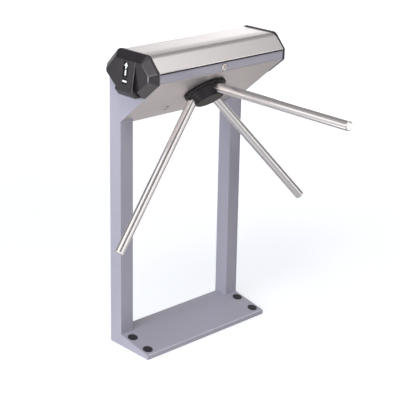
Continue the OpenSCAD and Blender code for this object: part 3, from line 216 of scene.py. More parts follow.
# %% [markdown]
# ## Brushed and polished stainless
#
# The cover and the inclined panel are stainless sheet, brushed along the head with an abrasive
# belt of about grit 240. The scratches are 0.1 mm wide and some 60 mm long. They are drawn 1.2 mm
# wide and 90 mm long, so that they show. They make the sheet shine in long soft bands, so they
# vary its roughness and its height, and the shader's anisotropy stretches its highlights across
# them. The arms' tubes are polished on a lathe, round and round, so theirs is turned by a
# quarter, and their fine rings, really some 0.05 mm wide, are drawn 1.2 mm wide and very shallow.
# One recipe gives all three finishes, each with its own tone and gloss.


# %% Brushed stainless
def brushed_stainless(name, tones, roughness, grain_mm, depth_mm, axis, turn, drawn_out):
    """Stainless brushed along its long axis or, with a turn of a quarter, round it."""
    material, tree, shader = new_material(
        name, Metallic=1.0, Anisotropic=drawn_out, Anisotropic_Rotation=turn
    )
    across = add_node(tree, "ShaderNodeTangent", direction_type="RADIAL", axis=axis)
    tree.links.new(across.outputs["Tangent"], shader.inputs["Tangent"])
    scratches = noise(tree, grain_mm, detail=4.0)
    blotches = noise(tree, (160, 60, 60), detail=1.0)
    half = worked_out(tree, "MULTIPLY", worked_out(tree, "ADD", scratches, blotches), 0.5)
    tree.links.new(two_tone(tree, half, *tones), shader.inputs["Base Color"])
    vary_roughness(tree, shader, scratches, *roughness)
    raise_pattern(tree, shader, scratches, depth_mm, 0.2)
    return material


ALONG_HEAD = (90, 1.2, 1.2)
ROUND_TUBE = (20, 20, 1.2)
cover_stainless = brushed_stainless(
    "brushed_stainless_cover",
    tones=("#eae8e7", "#edebea"),
    roughness=(0.25, 0.27),
    grain_mm=ALONG_HEAD,
    depth_mm=0.0012,
    axis="X",
    turn=0.0,
    drawn_out=0.85,
)
panel_stainless = brushed_stainless(
    "brushed_stainless_panel",
    tones=("#dad4d2", "#dfd9d7"),
    roughness=(0.36, 0.42),
    grain_mm=ALONG_HEAD,
    depth_mm=0.0015,
    axis="X",
    turn=0.0,
    drawn_out=0.6,
)
tube_stainless = brushed_stainless(
    "polished_stainless_tube",
    tones=("#e6e4e3", "#e9e7e6"),
    roughness=(0.15, 0.17),
    grain_mm=ROUND_TUBE,
    depth_mm=0.0003,
    axis="Z",
    turn=0.25,
    drawn_out=0.95,
)
print(cover_stainless.name, panel_stainless.name, tube_stainless.name)

# %% [markdown]
# ## Moulded ABS
#
# The end caps, their bands and the floor plugs are injection-moulded ABS, dyed black. The mould
# is spark-eroded, which leaves a fine satin grain of about 0.3 mm, drawn here 2 mm across so that
# it shows. Thin plastic also shines a little unevenly where it cooled unevenly, so the roughness
# drifts over some centimetres. The edges on the side that faces the light get a painted highlight,
# a pale grey.

# %% Moulded black ABS
moulded_abs, tree, shader = new_material("moulded_abs_black", IOR=1.53, Specular_IOR_Level=0.6)
grain = noise(tree, (2, 2, 2))
drift = noise(tree, (40, 40, 40), detail=1.0)
dye = two_tone(tree, grain, "#1c181d", "#221e24")
# the marked edges get a painted highlight, a pale grey
tree.links.new(highlighted(tree, dye, "#c0bdc5"), shader.inputs["Base Color"])
vary_roughness(tree, shader, drift, 0.26, 0.32)
raise_pattern(tree, shader, grain, 0.05, 0.5)
print(moulded_abs.name)

# %% [markdown]
# ## Stove enamel, rubber and the dark plastics
#
# The hub is cast aluminium under black stove enamel, and its end plate has a paler, browner one.
# Both are duller than the moulded caps. The cover's seal and the cable grommet are soft rubber,
# which scatters light and has almost no gloss. The indicator windows are smoked acrylic, polished
# on both sides, and the signs behind them are opal acrylic. All are plain skins that differ in
# colour, gloss and grain, so one recipe makes them. The real grain of the enamels, the rubber and
# the opal acrylic is 0.2 to 0.5 mm, and it is drawn 2 to 4 mm across so that it shows. The smoked
# acrylic has none, so it only waves a little, over 30 mm.


# %% Dark and plain skins
def plain_skin(name, tones, roughness, grain_mm, depth_mm, ior=None):
    """A plain coat or moulding, or, without an ior, a bare metal, with a little change of tone."""
    if ior is None:
        settings = {"Metallic": 1.0}
    else:
        settings = {"IOR": ior, "Specular IOR Level": 0.3}
    material, tree, shader = new_material(name, **settings)
    grains = noise(tree, (grain_mm,) * 3)
    tree.links.new(two_tone(tree, grains, *tones), shader.inputs["Base Color"])
    vary_roughness(tree, shader, grains, *roughness)
    raise_pattern(tree, shader, grains, depth_mm, 0.5)
    return material


stove_enamel = plain_skin("stove_enamel_black", ("#1a171b", "#211e22"), (0.36, 0.44), 3, 0.03, 1.5)
plate_enamel = plain_skin("enamel_dark_plate", ("#44403b", "#4c4842"), (0.45, 0.55), 3, 0.02, 1.5)
soft_rubber = plain_skin("rubber_black", ("#29272a", "#302e31"), (0.7, 0.8), 2, 0.05, 1.52)
smoked_acrylic = plain_skin("smoked_acrylic", ("#141316", "#18171a"), (0.05, 0.1), 30, 0.01, 1.49)
light_opal = plain_skin("opal_acrylic_light", ("#eef1f4", "#f6f8fa"), (0.3, 0.4), 4, 0.01, 1.49)
print(stove_enamel.name, plate_enamel.name, soft_rubber.name, smoked_acrylic.name, light_opal.name)

# %% [markdown]
# ## The metals and plastics inside
#
# With the cover open the mechanism shows, so its parts get the finish of the real thing:
# zinc-plated plate, ground shaft steel, cast aluminium, brass spacers, white acetal rollers, a
# green solder mask. A metal keeps the shader's own index of refraction, because its colour
# already says how it reflects. The table gives, for each material slot of the record: the
# material's name, its two tones, its roughness, the size and depth of its grain in millimetres,
# and, unless it is a metal, its index. These grains too are drawn some ten times as coarse as the
# real ones.

# %% Inner finishes
inner = {
    "zinc_steel": ("zinc_plated_steel", ("#bfc1c2", "#cfd0ce"), (0.3, 0.42), 6, 0.01),
    "ground_steel": ("ground_shaft_steel", ("#cbcbcc", "#d8d8d9"), (0.14, 0.22), 4, 0.005),
    "black_screw": ("black_oxide_steel", ("#3b3b3d", "#444446"), (0.35, 0.45), 3, 0.01),
    "cast_housing": ("cast_aluminium", ("#bdbebf", "#cccdcd"), (0.4, 0.55), 2.5, 0.08),
    "bearing_steel": ("bearing_chrome_steel", ("#c6c8cb", "#d3d5d8"), (0.1, 0.16), 4, 0.004),
    "brass_standoff": ("turned_brass", ("#cbae6c", "#d9be80"), (0.2, 0.3), 2, 0.01),
    "chrome_lock": ("satin_nickel_plate", ("#bdb8b4", "#c9c4c0"), (0.18, 0.26), 5, 0.002),
    "acetal_white": ("acetal_white", ("#e6e6e2", "#eeeeea"), (0.25, 0.32), 5, 0.01, 1.48),
    "coil_tape": ("varnished_coil_tape", ("#8f5a38", "#9c6643"), (0.35, 0.5), 2, 0.05, 1.55),
    "circuit_green": ("solder_mask_green", ("#23633f", "#2b6e48"), (0.2, 0.3), 5, 0.02, 1.55),
    "damper_black": ("damper_black_paint", ("#3d3d3f", "#454547"), (0.35, 0.45), 3, 0.02, 1.5),
}
finishes = {slot: plain_skin(*recipe) for slot, recipe in inner.items()}
finishes.update(
    painted_frame=powder_coat,
    cover_steel=cover_stainless,
    panel_steel=panel_stainless,
    tube_steel=tube_stainless,
    black_plastic=moulded_abs,
    black_window=smoked_acrylic,
    white_light=light_opal,
    black_rubber=soft_rubber,
    hub_metal=stove_enamel,
    end_plate_metal=plate_enamel,
)
print(len(finishes), "finishes for the record's material slots")

# %% [markdown]
# ## A finish for every CAD node
#
# Each CAD node names its material slot in the record. Its object gets that slot's finish, and no
# mesh is touched. Pieces that are made again below hide their CAD node and take the same finish.

# %% Dress the CAD nodes
node_slot = {part["node"]: part["material_slot"] for part in frame["record"]["subparts"]}
for name, node in nodes.items():
    node.data.materials.clear()
    node.data.materials.append(finishes[node_slot[name]])
print("dressed", len(nodes), "CAD nodes")

# %% [markdown]
# ## Joining flat faces
#
# A CAD solid comes as triangles with split corners, and a bevel on those would follow every
# diagonal. So a copy is welded first, and the triangles of each flat face are joined into one.

# %% Join flat faces
WELD_MM = 0.002  # corners nearer than this are one corner
FLAT_WITHIN = radians(0.5)  # faces that meet at less than this are one face


def join_flats(bm):
    """Weld the corners and join the triangles of each flat face."""
    bmesh.ops.remove_doubles(bm, verts=bm.verts, dist=WELD_MM * MM)
    bmesh.ops.dissolve_limit(
        bm, angle_limit=FLAT_WITHIN, verts=bm.verts, edges=bm.edges, delimit={"NORMAL"}
    )


trial = bmesh.new()
trial.from_mesh(nodes["base_cover"].data)
triangles = len(trial.faces)
join_flats(trial)
print("base_cover:", triangles, "triangles make", len(trial.faces), "flat faces")
trial.free()

# %% [markdown]
# ## Softened edges
#
# No real edge is perfectly sharp: coated sheet has a radius of about 0.5 mm, a moulding about 1
# mm. The light catches in that radius, and that thin bright line is what makes an edge look real.
# The radii below are larger than real on most pieces, up to 2 mm, so that the line shows at this
# size. A bevel modifier would round all edges alike or shrink them all to fit the narrowest. So
# the edges are bevelled in two passes: first those between wide faces, then, by a quarter of the
# radius, those of the narrow sheet that are left.

# %% Round the edges
LEAST_ANGLE = radians(24)  # flatter folds are left as they are
BEVEL_STEPS = 3
NARROW_SHARE = 4  # the second pass takes the radius divided by this
LONG_ENOUGH, WIDE_ENOUGH, FREE_ENOUGH = 4, 2.2, 1.2  # room that a bevel needs, in its own reach


def room_for(edge, reach):
    """Whether an edge is long enough, and its two faces wide enough, for a bevel of this reach."""
    if edge.calc_length() < LONG_ENOUGH * reach:
        return False
    for face in edge.link_faces:
        longest = max(e.calc_length() for e in face.edges)
        if face.calc_area() / longest < WIDE_ENOUGH * reach:
            return False
    around = [e for v in edge.verts for e in v.link_edges if e != edge]
    return min(e.calc_length() for e in around) > FREE_ENOUGH * reach


def round_edges(bm, edge_mm):
    """Round the convex edges: by edge_mm between wide faces, by a part of it on narrow sheet."""
    done = bm.faces.layers.int.new("rounded")
    for reach in (edge_mm * MM, edge_mm * MM / NARROW_SHARE):
        sharp = [
            e
            for e in bm.edges
            if len(e.link_faces) == 2
            and e.is_convex
            and not any(f[done] for f in e.link_faces)
            and e.calc_face_angle() > LEAST_ANGLE
            and room_for(e, reach)
        ]
        made = bmesh.ops.bevel(
            bm,
            geom=sharp,
            offset=reach,
            segments=BEVEL_STEPS,
            profile=0.5,
            affect="EDGES",
            clamp_overlap=False,
        )
        bm.normal_update()
        for face in made["faces"]:
            face[done] = 1


print("bevels of", BEVEL_STEPS, "steps, in two passes")

# %% [markdown]
# ## Marks for the painted edge highlights
#
# The painted highlight needs to know where to show. Each piece is given the side whose edges are
# to catch the light, and only the narrow faces, which are the bevels and folds, that look that way
# are marked.

# %% Mark the edges for the painted highlight
BEVEL_WIDTH = 5  # mm; a narrower face is a bevel or a fold
# the rubbed side below is the side whose edges get a painted highlight
LIT_FROM, LIT_RAMP = 0.925, 0.05  # cosine to the rubbed side: none below the first, full past both


def mark_lit_edges(bm, towards):
    """Mark the bevels and folds that look towards the side that gets a painted highlight."""
    lit_mark = bm.faces.layers.float.new("highlit_edge")
    for face in bm.faces:
        width = face.calc_area() / max(e.calc_length() for e in face.edges)
        if width < BEVEL_WIDTH * MM:
            share = (face.normal.dot(towards) - LIT_FROM) / LIT_RAMP
            face[lit_mark] = max(0.0, min(1.0, share))


print("rubbed within", round(acos(LIT_FROM) * 180 / pi), "degrees of the rubbed side")

# %% [markdown]
# ## Smooth shading and pieces
#
# Plain smooth shading bends the light over whole flat faces, and flat shading shows every step of
# a bevel. Here each corner's normal is averaged over the faces round it by their area, so flat
# faces stay flat and only the bevels turn the light. Blender's weighted normals do the same as a
# modifier, but done in the mesh there is nothing left to apply.

# %% Shading and pieces
CREASE = radians(40)  # faces that meet at a larger angle keep a sharp edge


def shade_by_area(mesh):
    """Smooth shading in which each corner follows the largest faces that are not past a crease."""
    around = [[] for _ in mesh.vertices]
    for face in mesh.polygons:
        face.use_smooth = True
        for i in face.vertices:
            around[i].append((face.normal.copy(), face.area))
    least = cos(CREASE)
    normals = []
    for face in mesh.polygons:
        for i in face.vertices:
            near = [n * area for n, area in around[i] if n.dot(face.normal) > least]
            normals.append(sum(near, Vector()).normalized())
    mesh.normals_split_custom_set(normals)


def piece_from(bm, name, place=None):
    """Turn a bmesh into a piece of the scene."""
    bmesh.ops.recalc_face_normals(bm, faces=bm.faces)
    mesh = bpy.data.meshes.new(name)
    bm.to_mesh(mesh)
    bm.free()
    shade_by_area(mesh)
    piece = bpy.data.objects.new(name, mesh)
    bpy.context.scene.collection.objects.link(piece)
    if place is not None:
        piece.matrix_world = place
    return piece


def stand_for(piece, body, *cad_nodes):
    """Let a piece ride on a body, hide the CAD nodes it stands for, and give it their finish."""
    slot = node_slot[cad_nodes[0]]
    piece.data.materials.append(finishes[slot])
    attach(piece, body)
    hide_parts(*cad_nodes)


def softened(node_name, piece_name, edge_mm, lit_side=None):
    """A copy of a CAD solid with its flat faces joined and its edges rounded."""
    bm = bmesh.new()
    bm.from_mesh(nodes[node_name].data)
    join_flats(bm)
    round_edges(bm, edge_mm)
    if lit_side:
        mark_lit_edges(bm, Vector(lit_side).normalized())
    return piece_from(bm, piece_name)


print("a piece hides the CAD nodes that it stands for")

# %% [markdown]
# ## Sheet metal, posts and mouldings
#
# Cheeks, base cover, strip, panel and rear wall are cut and folded sheet, with a small radius on
# each edge. The posts are drawn tube, with a larger corner. The caps and bands are mouldings, and
# their edges are rounder still. All keep the CAD's outline, so they are softened copies of it.
# The caps' rims also stand a few millimetres proud of the cover, as a moulded lip does, so that
# they hide the cover's cut ends.

# %% Softened pieces of the stand and the cover
BODY_OF = {n: body for body, names in frame["record"]["behaviour"]["bodies"].items() for n in names}
softened_pieces = [
    # CAD node, piece, edge radius in mm, and the side whose edges get a painted highlight
    ("left_cheek", "left_side_sheet", 1.3),
    ("right_cheek", "right_side_sheet", 1.3),
    ("left_post", "left_post_tube", 2.0),
    ("right_post", "right_post_tube", 2.0),
    ("base_cover", "base_shell", 1.8, (0, -0.5, 0.87)),
    ("front_rail", "front_strip", 1.2),
    ("inclined_panel", "brushed_panel", 0.4),
    ("rear_wall", "rear_sheet", 0.5),
    ("left_end_cap", "left_cap_shell", 1.7, (-0.9, -0.35, 0.2)),
    ("right_end_cap", "right_cap_shell", 1.7, (0.9, -0.35, 0.2)),
    ("left_indicator_band", "left_band_shell", 1.2, (-0.7, -0.7, 0)),
    ("right_indicator_band", "right_band_shell", 1.2, (0.7, -0.7, 0)),
    ("indicator_windows", "smoked_windows", 0.4),
    ("hinge_frame_leaves", "hinge_wall_leaves", 0.3),
    ("hinge_cover_leaves", "hinge_lid_leaves", 0.3),
]
RIM_TOP, RIM_SIDE = 3.5, 1.5  # how far the caps' rims stand proud
RIM_FROM, RIM_RAMP = 1042, 20  # the height at which they start to, and over which it grows
TOP_MIDDLE, TOP_HALF = 5, 65  # the cover's flat top: its middle and half its depth


def raise_rim(mesh):
    """Let a cap's rim stand a little proud of the cover's top and bends."""
    for vertex in mesh.vertices:
        up = max(0, min(1, (vertex.co.z / MM - RIM_FROM) / RIM_RAMP))
        out = (vertex.co.y / MM - TOP_MIDDLE) / TOP_HALF
        vertex.co.z += up * RIM_TOP * MM
        if abs(out) > 1:
            vertex.co.y += (out - (1 if out > 0 else -1)) * RIM_SIDE * MM


for node_name, piece_name, *how in softened_pieces:
    piece = softened(node_name, piece_name, *how)
    if node_name.endswith("end_cap"):
        raise_rim(piece.data)
    stand_for(piece, BODY_OF[node_name], node_name)
    print(piece_name, len(piece.data.polygons), "faces")

# %% [markdown]
# ## Outlines with bends
#
# Folded sheet, seals and turned parts are all an outline with rounded corners that is pushed out
# or spun. A curve object could hold such an outline, but its bends would need handles set by
# hand. Here the corners are given as on a drawing, each with its radius, and the arcs are worked
# out.

# %% Outline helpers
STRAIGHT = 0.01  # radians; a corner that turns less than this stays as it is


def bent_line(points, radii, steps):
    """A line through points, with each inner corner rounded to its radius."""
    out = [Vector(points[0])]
    for before, here, after, radius in zip(points, points[1:], points[2:], radii[1:]):
        here = Vector(here)
        a = (Vector(before) - here).normalized()
        b = (Vector(after) - here).normalized()
        turn = pi - acos(max(-1, min(1, a.dot(b))))
        if radius <= 0 or turn < STRAIGHT:
            out.append(here)
            continue
        middle = here + (a + b).normalized() * radius / cos(turn / 2)
        start = here + a * radius * tan(turn / 2) - middle
        end = here + b * radius * tan(turn / 2) - middle
        for i in range(steps + 1):
            share = i / steps
            out.append(
                middle
                + (start * sin((1 - share) * turn) + end * sin(share * turn)) / sin(turn)
            )
    out.append(Vector(points[-1]))
    return out


def beside(line, distance):
    """The line moved sideways, to its right, by distance."""
    steps = [(after - here).normalized() for here, after in zip(line, line[1:])]
    out = []
    for point, first, second in zip(line, steps[:1] + steps, steps + steps[-1:]):
        side = Vector((first.y, -first.x)) + Vector((second.y, -second.x))
        out.append(point + side * distance / (1 + first.dot(second)))
    return out


def pushed_out(outline, half_width):
    """A closed outline in the YZ plane, pushed out along X to both sides."""
    bm = bmesh.new()
    ends = [
        [bm.verts.new((x * MM, p.x * MM, p.y * MM)) for p in outline]
        for x in (-half_width, half_width)
    ]
    count = len(outline)
    for i in range(count):
        j = (i + 1) % count
        bm.faces.new((ends[0][i], ends[0][j], ends[1][j], ends[1][i]))
    bm.faces.new(ends[0])
    bm.faces.new(reversed(ends[1]))
    return bm


corner = bent_line([(0, 0), (10, 0), (10, 10)], [0, 4, 0], steps=8)
print("a rounded corner has", len(corner), "points")

# %% [markdown]
# ## The folded cover
#
# The cover is one stainless sheet, 1.5 mm thick, rolled over two large bends and hemmed at both
# edges. It could be a softened copy too, but the CAD makes each bend from six flats, and polished
# sheet shows every flat. So its side view is drawn again with fine bends and pushed out along the
# head. Its flat top is cut into strips, because a rolled sheet is never quite flat next to its
# bend, and the strips let the shading lean over a little there.

# %% The folded cover
SHEET = 1.5
HEAD_FRONT, HEAD_REAR, HEAD_TOP = -120.0, 130.0, 1062.0
COVER_HALF = 279.7  # half its width, with a small gap to each cap
TOP_STRIPS = 14
cover_line = [
    (HEAD_FRONT, 1012.5),
    (HEAD_FRONT, 1016.0),
    (HEAD_FRONT + 44, HEAD_TOP),
    (HEAD_REAR - 58, HEAD_TOP),
    (HEAD_REAR, 1003.0),
    (HEAD_REAR, 985.0),
]
cover_radii = [0, 1.5, 32, 32, 2.5, 0]
LEAN_FROM, LEAN_OVER, LEAN_UNTIL = -10, 52, -70  # mm across the head
LEAN_MOST, NEARLY_UP = radians(4.5), cos(radians(5))


def lean_normals(mesh):
    """Let the top's shading lean into the front bend, as a rolled sheet does."""
    normals = [corner.vector.copy() for corner in mesh.corner_normals]
    for loop, normal in zip(mesh.loops, normals):
        y = mesh.vertices[loop.vertex_index].co.y / MM
        share = max(0, min(1, (LEAN_FROM - y) / LEAN_OVER))
        if y > LEAN_UNTIL and normal.z > NEARLY_UP:
            lean = LEAN_MOST * share * share * (3 - 2 * share)
            normal.xyz = (0, -sin(lean), cos(lean))
    mesh.normals_split_custom_set(normals)


outside = bent_line(cover_line, cover_radii, steps=24)
for i in range(len(outside) - 1, 0, -1):
    if outside[i - 1].y == outside[i].y == HEAD_TOP:
        first, last = outside[i - 1], outside[i]
        outside[i:i] = [first.lerp(last, k / TOP_STRIPS) for k in range(1, TOP_STRIPS)]
inside = beside(outside, SHEET)
cover = piece_from(pushed_out(outside + inside[::-1], COVER_HALF), "folded_cover")
stand_for(cover, "cover", "top_cover")
lean_normals(cover.data)
print(cover.name, [round(v / MM, 1) for v in cover.dimensions], "mm")

# %% [markdown]
# ## The lip seal
#
# A black rubber profile closes the gap between the cover and the strip. Its soft front lip folds
# down over the strip's upper edge, which is why it shows as a dark line a little wider than the
# gap. Such a profile is extruded, so it is an outline pushed out along the head.

# %% Lip seal
SEAL_FRONT, SEAL_LOW, SEAL_HIGH = HEAD_FRONT + 0.1, 1009.8, 1012.3
SEAL_DEPTH, SEAL_HALF = 10, 276
LIP_OUT = LIP_DOWN = 1.6  # how far the lip stands out, and hangs down over the strip
LIP_BACK = 0.3
seal_outline = bent_line(
    [
        (SEAL_FRONT + SEAL_DEPTH, SEAL_HIGH),
        (SEAL_FRONT + SEAL_DEPTH, SEAL_LOW),
        (SEAL_FRONT - LIP_BACK, SEAL_LOW),
        (SEAL_FRONT - LIP_BACK, SEAL_LOW - LIP_DOWN),
        (SEAL_FRONT - LIP_OUT, SEAL_LOW - LIP_DOWN),
        (SEAL_FRONT - LIP_OUT, SEAL_HIGH),
        (SEAL_FRONT + SEAL_DEPTH, SEAL_HIGH),
    ],
    [0, 0.3, 0.1, 0.4, 0.6, 1.1, 0],
    steps=5,
)
seal = piece_from(pushed_out(seal_outline[:-1], SEAL_HALF), "lip_seal")
stand_for(seal, "stand", "cover_seal")
print(seal.name, [round(v / MM, 1) for v in seal.dimensions], "mm")

# %% [markdown]
# ## Spinning and cutting
#
# The hub, the locks, the arms and the plugs are turned parts. A lathe turns a profile about an
# axis, and so does the first function here. Sockets and keyways are then cut as a drill or a mill
# would cut them, with a boolean that is applied at once, so that the mesh itself has the hole.

# %% Spinning and cutting
ON_AXIS = 1e-6  # mm; a point nearer to the axis than this is on it


def spun(profile, turns):
    """Spin a line of (radius, height) points, in mm, about Z."""
    bm = bmesh.new()
    rings = []
    for radius, height in profile:
        if radius < ON_AXIS:
            rings.append([bm.verts.new((0, 0, height * MM))])
            continue
        ring = []
        for i in range(turns):
            angle = 2 * pi * i / turns
            x, y = radius * MM * cos(angle), radius * MM * sin(angle)
            ring.append(bm.verts.new((x, y, height * MM)))
        rings.append(ring)
    for low, high in zip(rings, rings[1:]):
        for i in range(turns):
            j = (i + 1) % turns
            corners = [
                low[i % len(low)],
                low[j % len(low)],
                high[j % len(high)],
                high[i % len(high)],
            ]
            unique = list(dict.fromkeys(corners))
            if len(unique) > 2:
                bm.faces.new(unique)
    return bm


def cut_out(piece, tool):
    """Take the tool's shape out of a piece, and throw the tool away."""
    cut = piece.modifiers.new("cut", "BOOLEAN")
    cut.operation, cut.solver, cut.object = "DIFFERENCE", "EXACT", tool
    bpy.context.view_layer.objects.active = piece
    bpy.ops.object.modifier_apply(modifier=cut.name)
    bpy.data.objects.remove(tool)


trial = spun([(0, 0), (5, 0), (5, 8), (0, 8)], turns=12)
print("a spun rod of 12 turns has", len(trial.faces), "faces")
trial.free()

# %% [markdown]
# ## Where the hub and the arms point
#
# The hub's axis leans 50 degrees below level, square to the inclined panel, and the three arms
# leave it at 49.5 degrees each, so that at every stop one of them is nearly level. A matrix holds
# each of these frames. Every part of the hub can then be drawn upright, which is easier to read,
# and set in place.

# %% Frames of the hub and the arms
APEX = Vector((0, -14.350903, 920.637768)) * MM  # where the arms' axes meet on the hub's axis
HUB_TURN, ARM_LEAN = radians(140), radians(-49.5)
hub_frame = Matrix.Translation(APEX) @ Matrix.Rotation(HUB_TURN, 4, "X")


def arm_frame(i):
    """A frame whose Z runs out along arm i."""
    turned = hub_frame @ Matrix.Rotation(radians(120 * i), 4, "Z")
    return turned @ Matrix.Rotation(ARM_LEAN, 4, "X")


print("the hub points along", [round(v, 3) for v in hub_frame.to_3x3().col[2]])

# %% [markdown]
# ## The tilted hub
#
# The hub stands square on the inclined panel: a flange, a tapered casting with three sockets, and
# a plate let into its end. It was turned and bored, so it is made that way here: a profile is
# spun about the hub's axis, and the three sockets are drilled along the arms' frames.

# %% The hub casting
FLANGE_R, FLANGE_LOW, FLANGE_HIGH = 75, 26.0, 36.0
HUB_TOP, FOOT_R, TOP_R = 68.0, 66, 50  # the tapered body, from its foot on the flange to its top
BORE_R, SEAT_R, SEAT_DEPTH = 13, 43.5, 2.1  # the shaft's bore and the end plate's seat
SOCKET_R, DRILL_FROM, DRILL_TO = 16.15, 30, 120  # the arms' sockets, along the arm
END_PLATE_R, END_PLATE_LOW, END_PLATE_HIGH = 42, 65.9, 67.9
hub_line = bent_line(
    [
        (BORE_R, FLANGE_LOW),
        (FLANGE_R, FLANGE_LOW),
        (FLANGE_R, FLANGE_HIGH),
        (FOOT_R, FLANGE_HIGH),
        (TOP_R, HUB_TOP),
        (SEAT_R, HUB_TOP),
        (SEAT_R, HUB_TOP - SEAT_DEPTH),
        (BORE_R, HUB_TOP - SEAT_DEPTH),
    ],
    [0, 2.5, 5, 3, 3.5, 0.5, 0, 0],
    steps=8,
)
hub_line = [(0, FLANGE_LOW)] + list(hub_line) + [(0, HUB_TOP - SEAT_DEPTH)]
hub = piece_from(spun(hub_line, turns=160), "hub_casting", hub_frame)
drill_line = [(0, DRILL_FROM), (SOCKET_R, DRILL_FROM), (SOCKET_R, DRILL_TO), (0, DRILL_TO)]
for i in range(3):
    cut_out(hub, piece_from(spun(drill_line, turns=96), f"drill_{i}", arm_frame(i)))
hub.data.validate()
stand_for(hub, "tripod", "hub_body")
print(hub.name, len(hub.data.polygons), "faces")

plate_line = bent_line(
    [
        (0, END_PLATE_LOW),
        (END_PLATE_R, END_PLATE_LOW),
        (END_PLATE_R, END_PLATE_HIGH),
        (0, END_PLATE_HIGH),
    ],
    [0, 0.2, 0.8, 0],
    steps=4,
)
end_plate = piece_from(spun(plate_line, turns=128), "hub_face_plate", hub_frame)
stand_for(end_plate, "tripod", "hub_end_plate")
print(end_plate.name, len(end_plate.data.polygons), "faces")

# %% [markdown]
# ## Key locks
#
# Two cam locks: one in the strip opens the cover, one in the panel frees the arms. Each has a
# satin-nickel face ring with a rounded shoulder, a hex nut behind the sheet, and a turning
# cylinder, set back in its ring, with a milled keyway. The rings and cylinders are turned parts,
# so they are spun. The nut is spun in six turns, which gives its six flats. The keyway is cut
# with a boolean.

# %% Cam locks
LOCK_BARREL, BARREL_R, CORE_R = 24.0, 9, 6
RING_R, RING_H, MOUTH_R, RECESS = 12.6, 3.2, 7.6, 1.4
NUT_R, NUT_H, PLATE = 13.5, 4, 2.0  # the nut's corners and height, and the sheet it holds on
CORE_DOWN = 2.2  # how deep the cylinder sits in its ring
KEYWAY = (3, 8.6, 14)
FRONT_LOCK_Z = 993.5
RELEASE_LOCK_AT = (-104, -105, 24.5)  # in the hub's frame, on the panel's outer face


def cam_lock(name, body_of_cylinder, place):
    """A lock's collar, nut and cylinder, drawn upright and set in place."""
    bore = CORE_R + 0.1
    ring_line = bent_line(
        [
            (bore, -LOCK_BARREL),
            (BARREL_R, -LOCK_BARREL),
            (BARREL_R, 0),
            (RING_R, 0),
            (RING_R, RING_H),
            (MOUTH_R, RING_H),
            (MOUTH_R, RING_H - RECESS),
            (bore, RING_H - RECESS),
            (bore, -LOCK_BARREL),
        ],
        [0, 0, 0, 0, 2.2, 0.6, 0, 0, 0],
        steps=6,
    )
    collar = piece_from(spun(ring_line, turns=72), f"{name}_collar", place)
    stand_for(collar, "stand", f"{name}_body")
    nut_low, nut_high, nut_bore = -PLATE - NUT_H, -PLATE, BARREL_R + 0.05
    nut_line = [(nut_bore, nut_low), (NUT_R, nut_low), (NUT_R, nut_high), (nut_bore, nut_high)]
    nut = piece_from(spun(nut_line + nut_line[:1], turns=6), f"{name}_nut", place)
    stand_for(nut, "stand", f"{name}_body")
    core_top = RING_H - CORE_DOWN
    core_line = bent_line(
        [(0, -LOCK_BARREL), (CORE_R, -LOCK_BARREL), (CORE_R, core_top), (0, core_top)],
        [0, 0.3, 0.7, 0],
        steps=4,
    )
    cylinder = piece_from(spun(core_line, turns=48), f"{name}_cylinder", place)
    mill = bmesh.new()
    bmesh.ops.create_cube(mill, size=1)
    bmesh.ops.scale(mill, vec=[side * MM for side in KEYWAY], verts=mill.verts)
    bmesh.ops.translate(mill, vec=(0, 0, RING_H * MM), verts=mill.verts)
    cut_out(cylinder, piece_from(mill, f"{name}_keyway_cutter", place))
    cylinder.data.validate()
    shade_by_area(cylinder.data)
    stand_for(cylinder, body_of_cylinder, f"{name}_plug")
    return collar, nut, cylinder


front_place = Matrix.Translation(Vector((0, HEAD_FRONT, FRONT_LOCK_Z)) * MM)
front_place = front_place @ Matrix.Rotation(pi / 2, 4, "X")
release_place = hub_frame @ Matrix.Translation(Vector(RELEASE_LOCK_AT) * MM)
for name, place in (("front", front_place), ("release", release_place)):
    print([piece.name for piece in cam_lock(f"{name}_lock", f"{name}_key", place)])

# %% [markdown]
# ## Polished arms
#
# Each arm is a 32 mm stainless tube with a wall of 1.5 mm, polished on a lathe, and closed by a
# shallow domed plug. Each is spun about its own axis, so its reflections run straight along it. A
# curve with a round bevel would look the same, but it would have no wall and no open end for the
# plug.

# %% Arms and their end plugs
ARM_R, ARM_WALL, ARM_START, ARM_END = 16.0, 1.5, 64, 643.0
DOME, PLUG_DEPTH = 3.0, 14
arm_bore = ARM_R - ARM_WALL
plug_bore = arm_bore - 0.05
tube_line = [(arm_bore, ARM_END), (arm_bore, ARM_START), (ARM_R, ARM_START), (ARM_R, ARM_END)]
plug_line = bent_line(
    [
        (0, ARM_END - PLUG_DEPTH),
        (plug_bore, ARM_END - PLUG_DEPTH),
        (plug_bore, ARM_END),
        (ARM_R, ARM_END),
        (ARM_R - 0.7, ARM_END + 1.3),
        (ARM_R - 4.5, ARM_END + DOME - 0.2),
        (0, ARM_END + DOME),
    ],
    [0, 1, 0, 0, 1.8, 6, 0],
    steps=8,
)
for i in range(3):
    bm = spun(tube_line + tube_line[:1], turns=96)
    tube = piece_from(bm, f"arm_tube_{i + 1}", arm_frame(i))
    stand_for(tube, "tripod", f"barrier_arm_{i + 1}")
    plug = piece_from(spun(plug_line, turns=96), f"arm_tip_{i + 1}", arm_frame(i))
    stand_for(plug, "tripod", "arm_end_plugs")
print("three arms,", ARM_END + DOME, "mm from the point where they meet")

# %% [markdown]
# ## Plugs over the floor anchors
#
# Black moulded plugs close the four holes over the anchors. They are low domes, square to the
# sloping cover, with a skirt that clips into the hole. They are round parts, so they are spun as
# well, and the frame of each one is tilted with the slope.

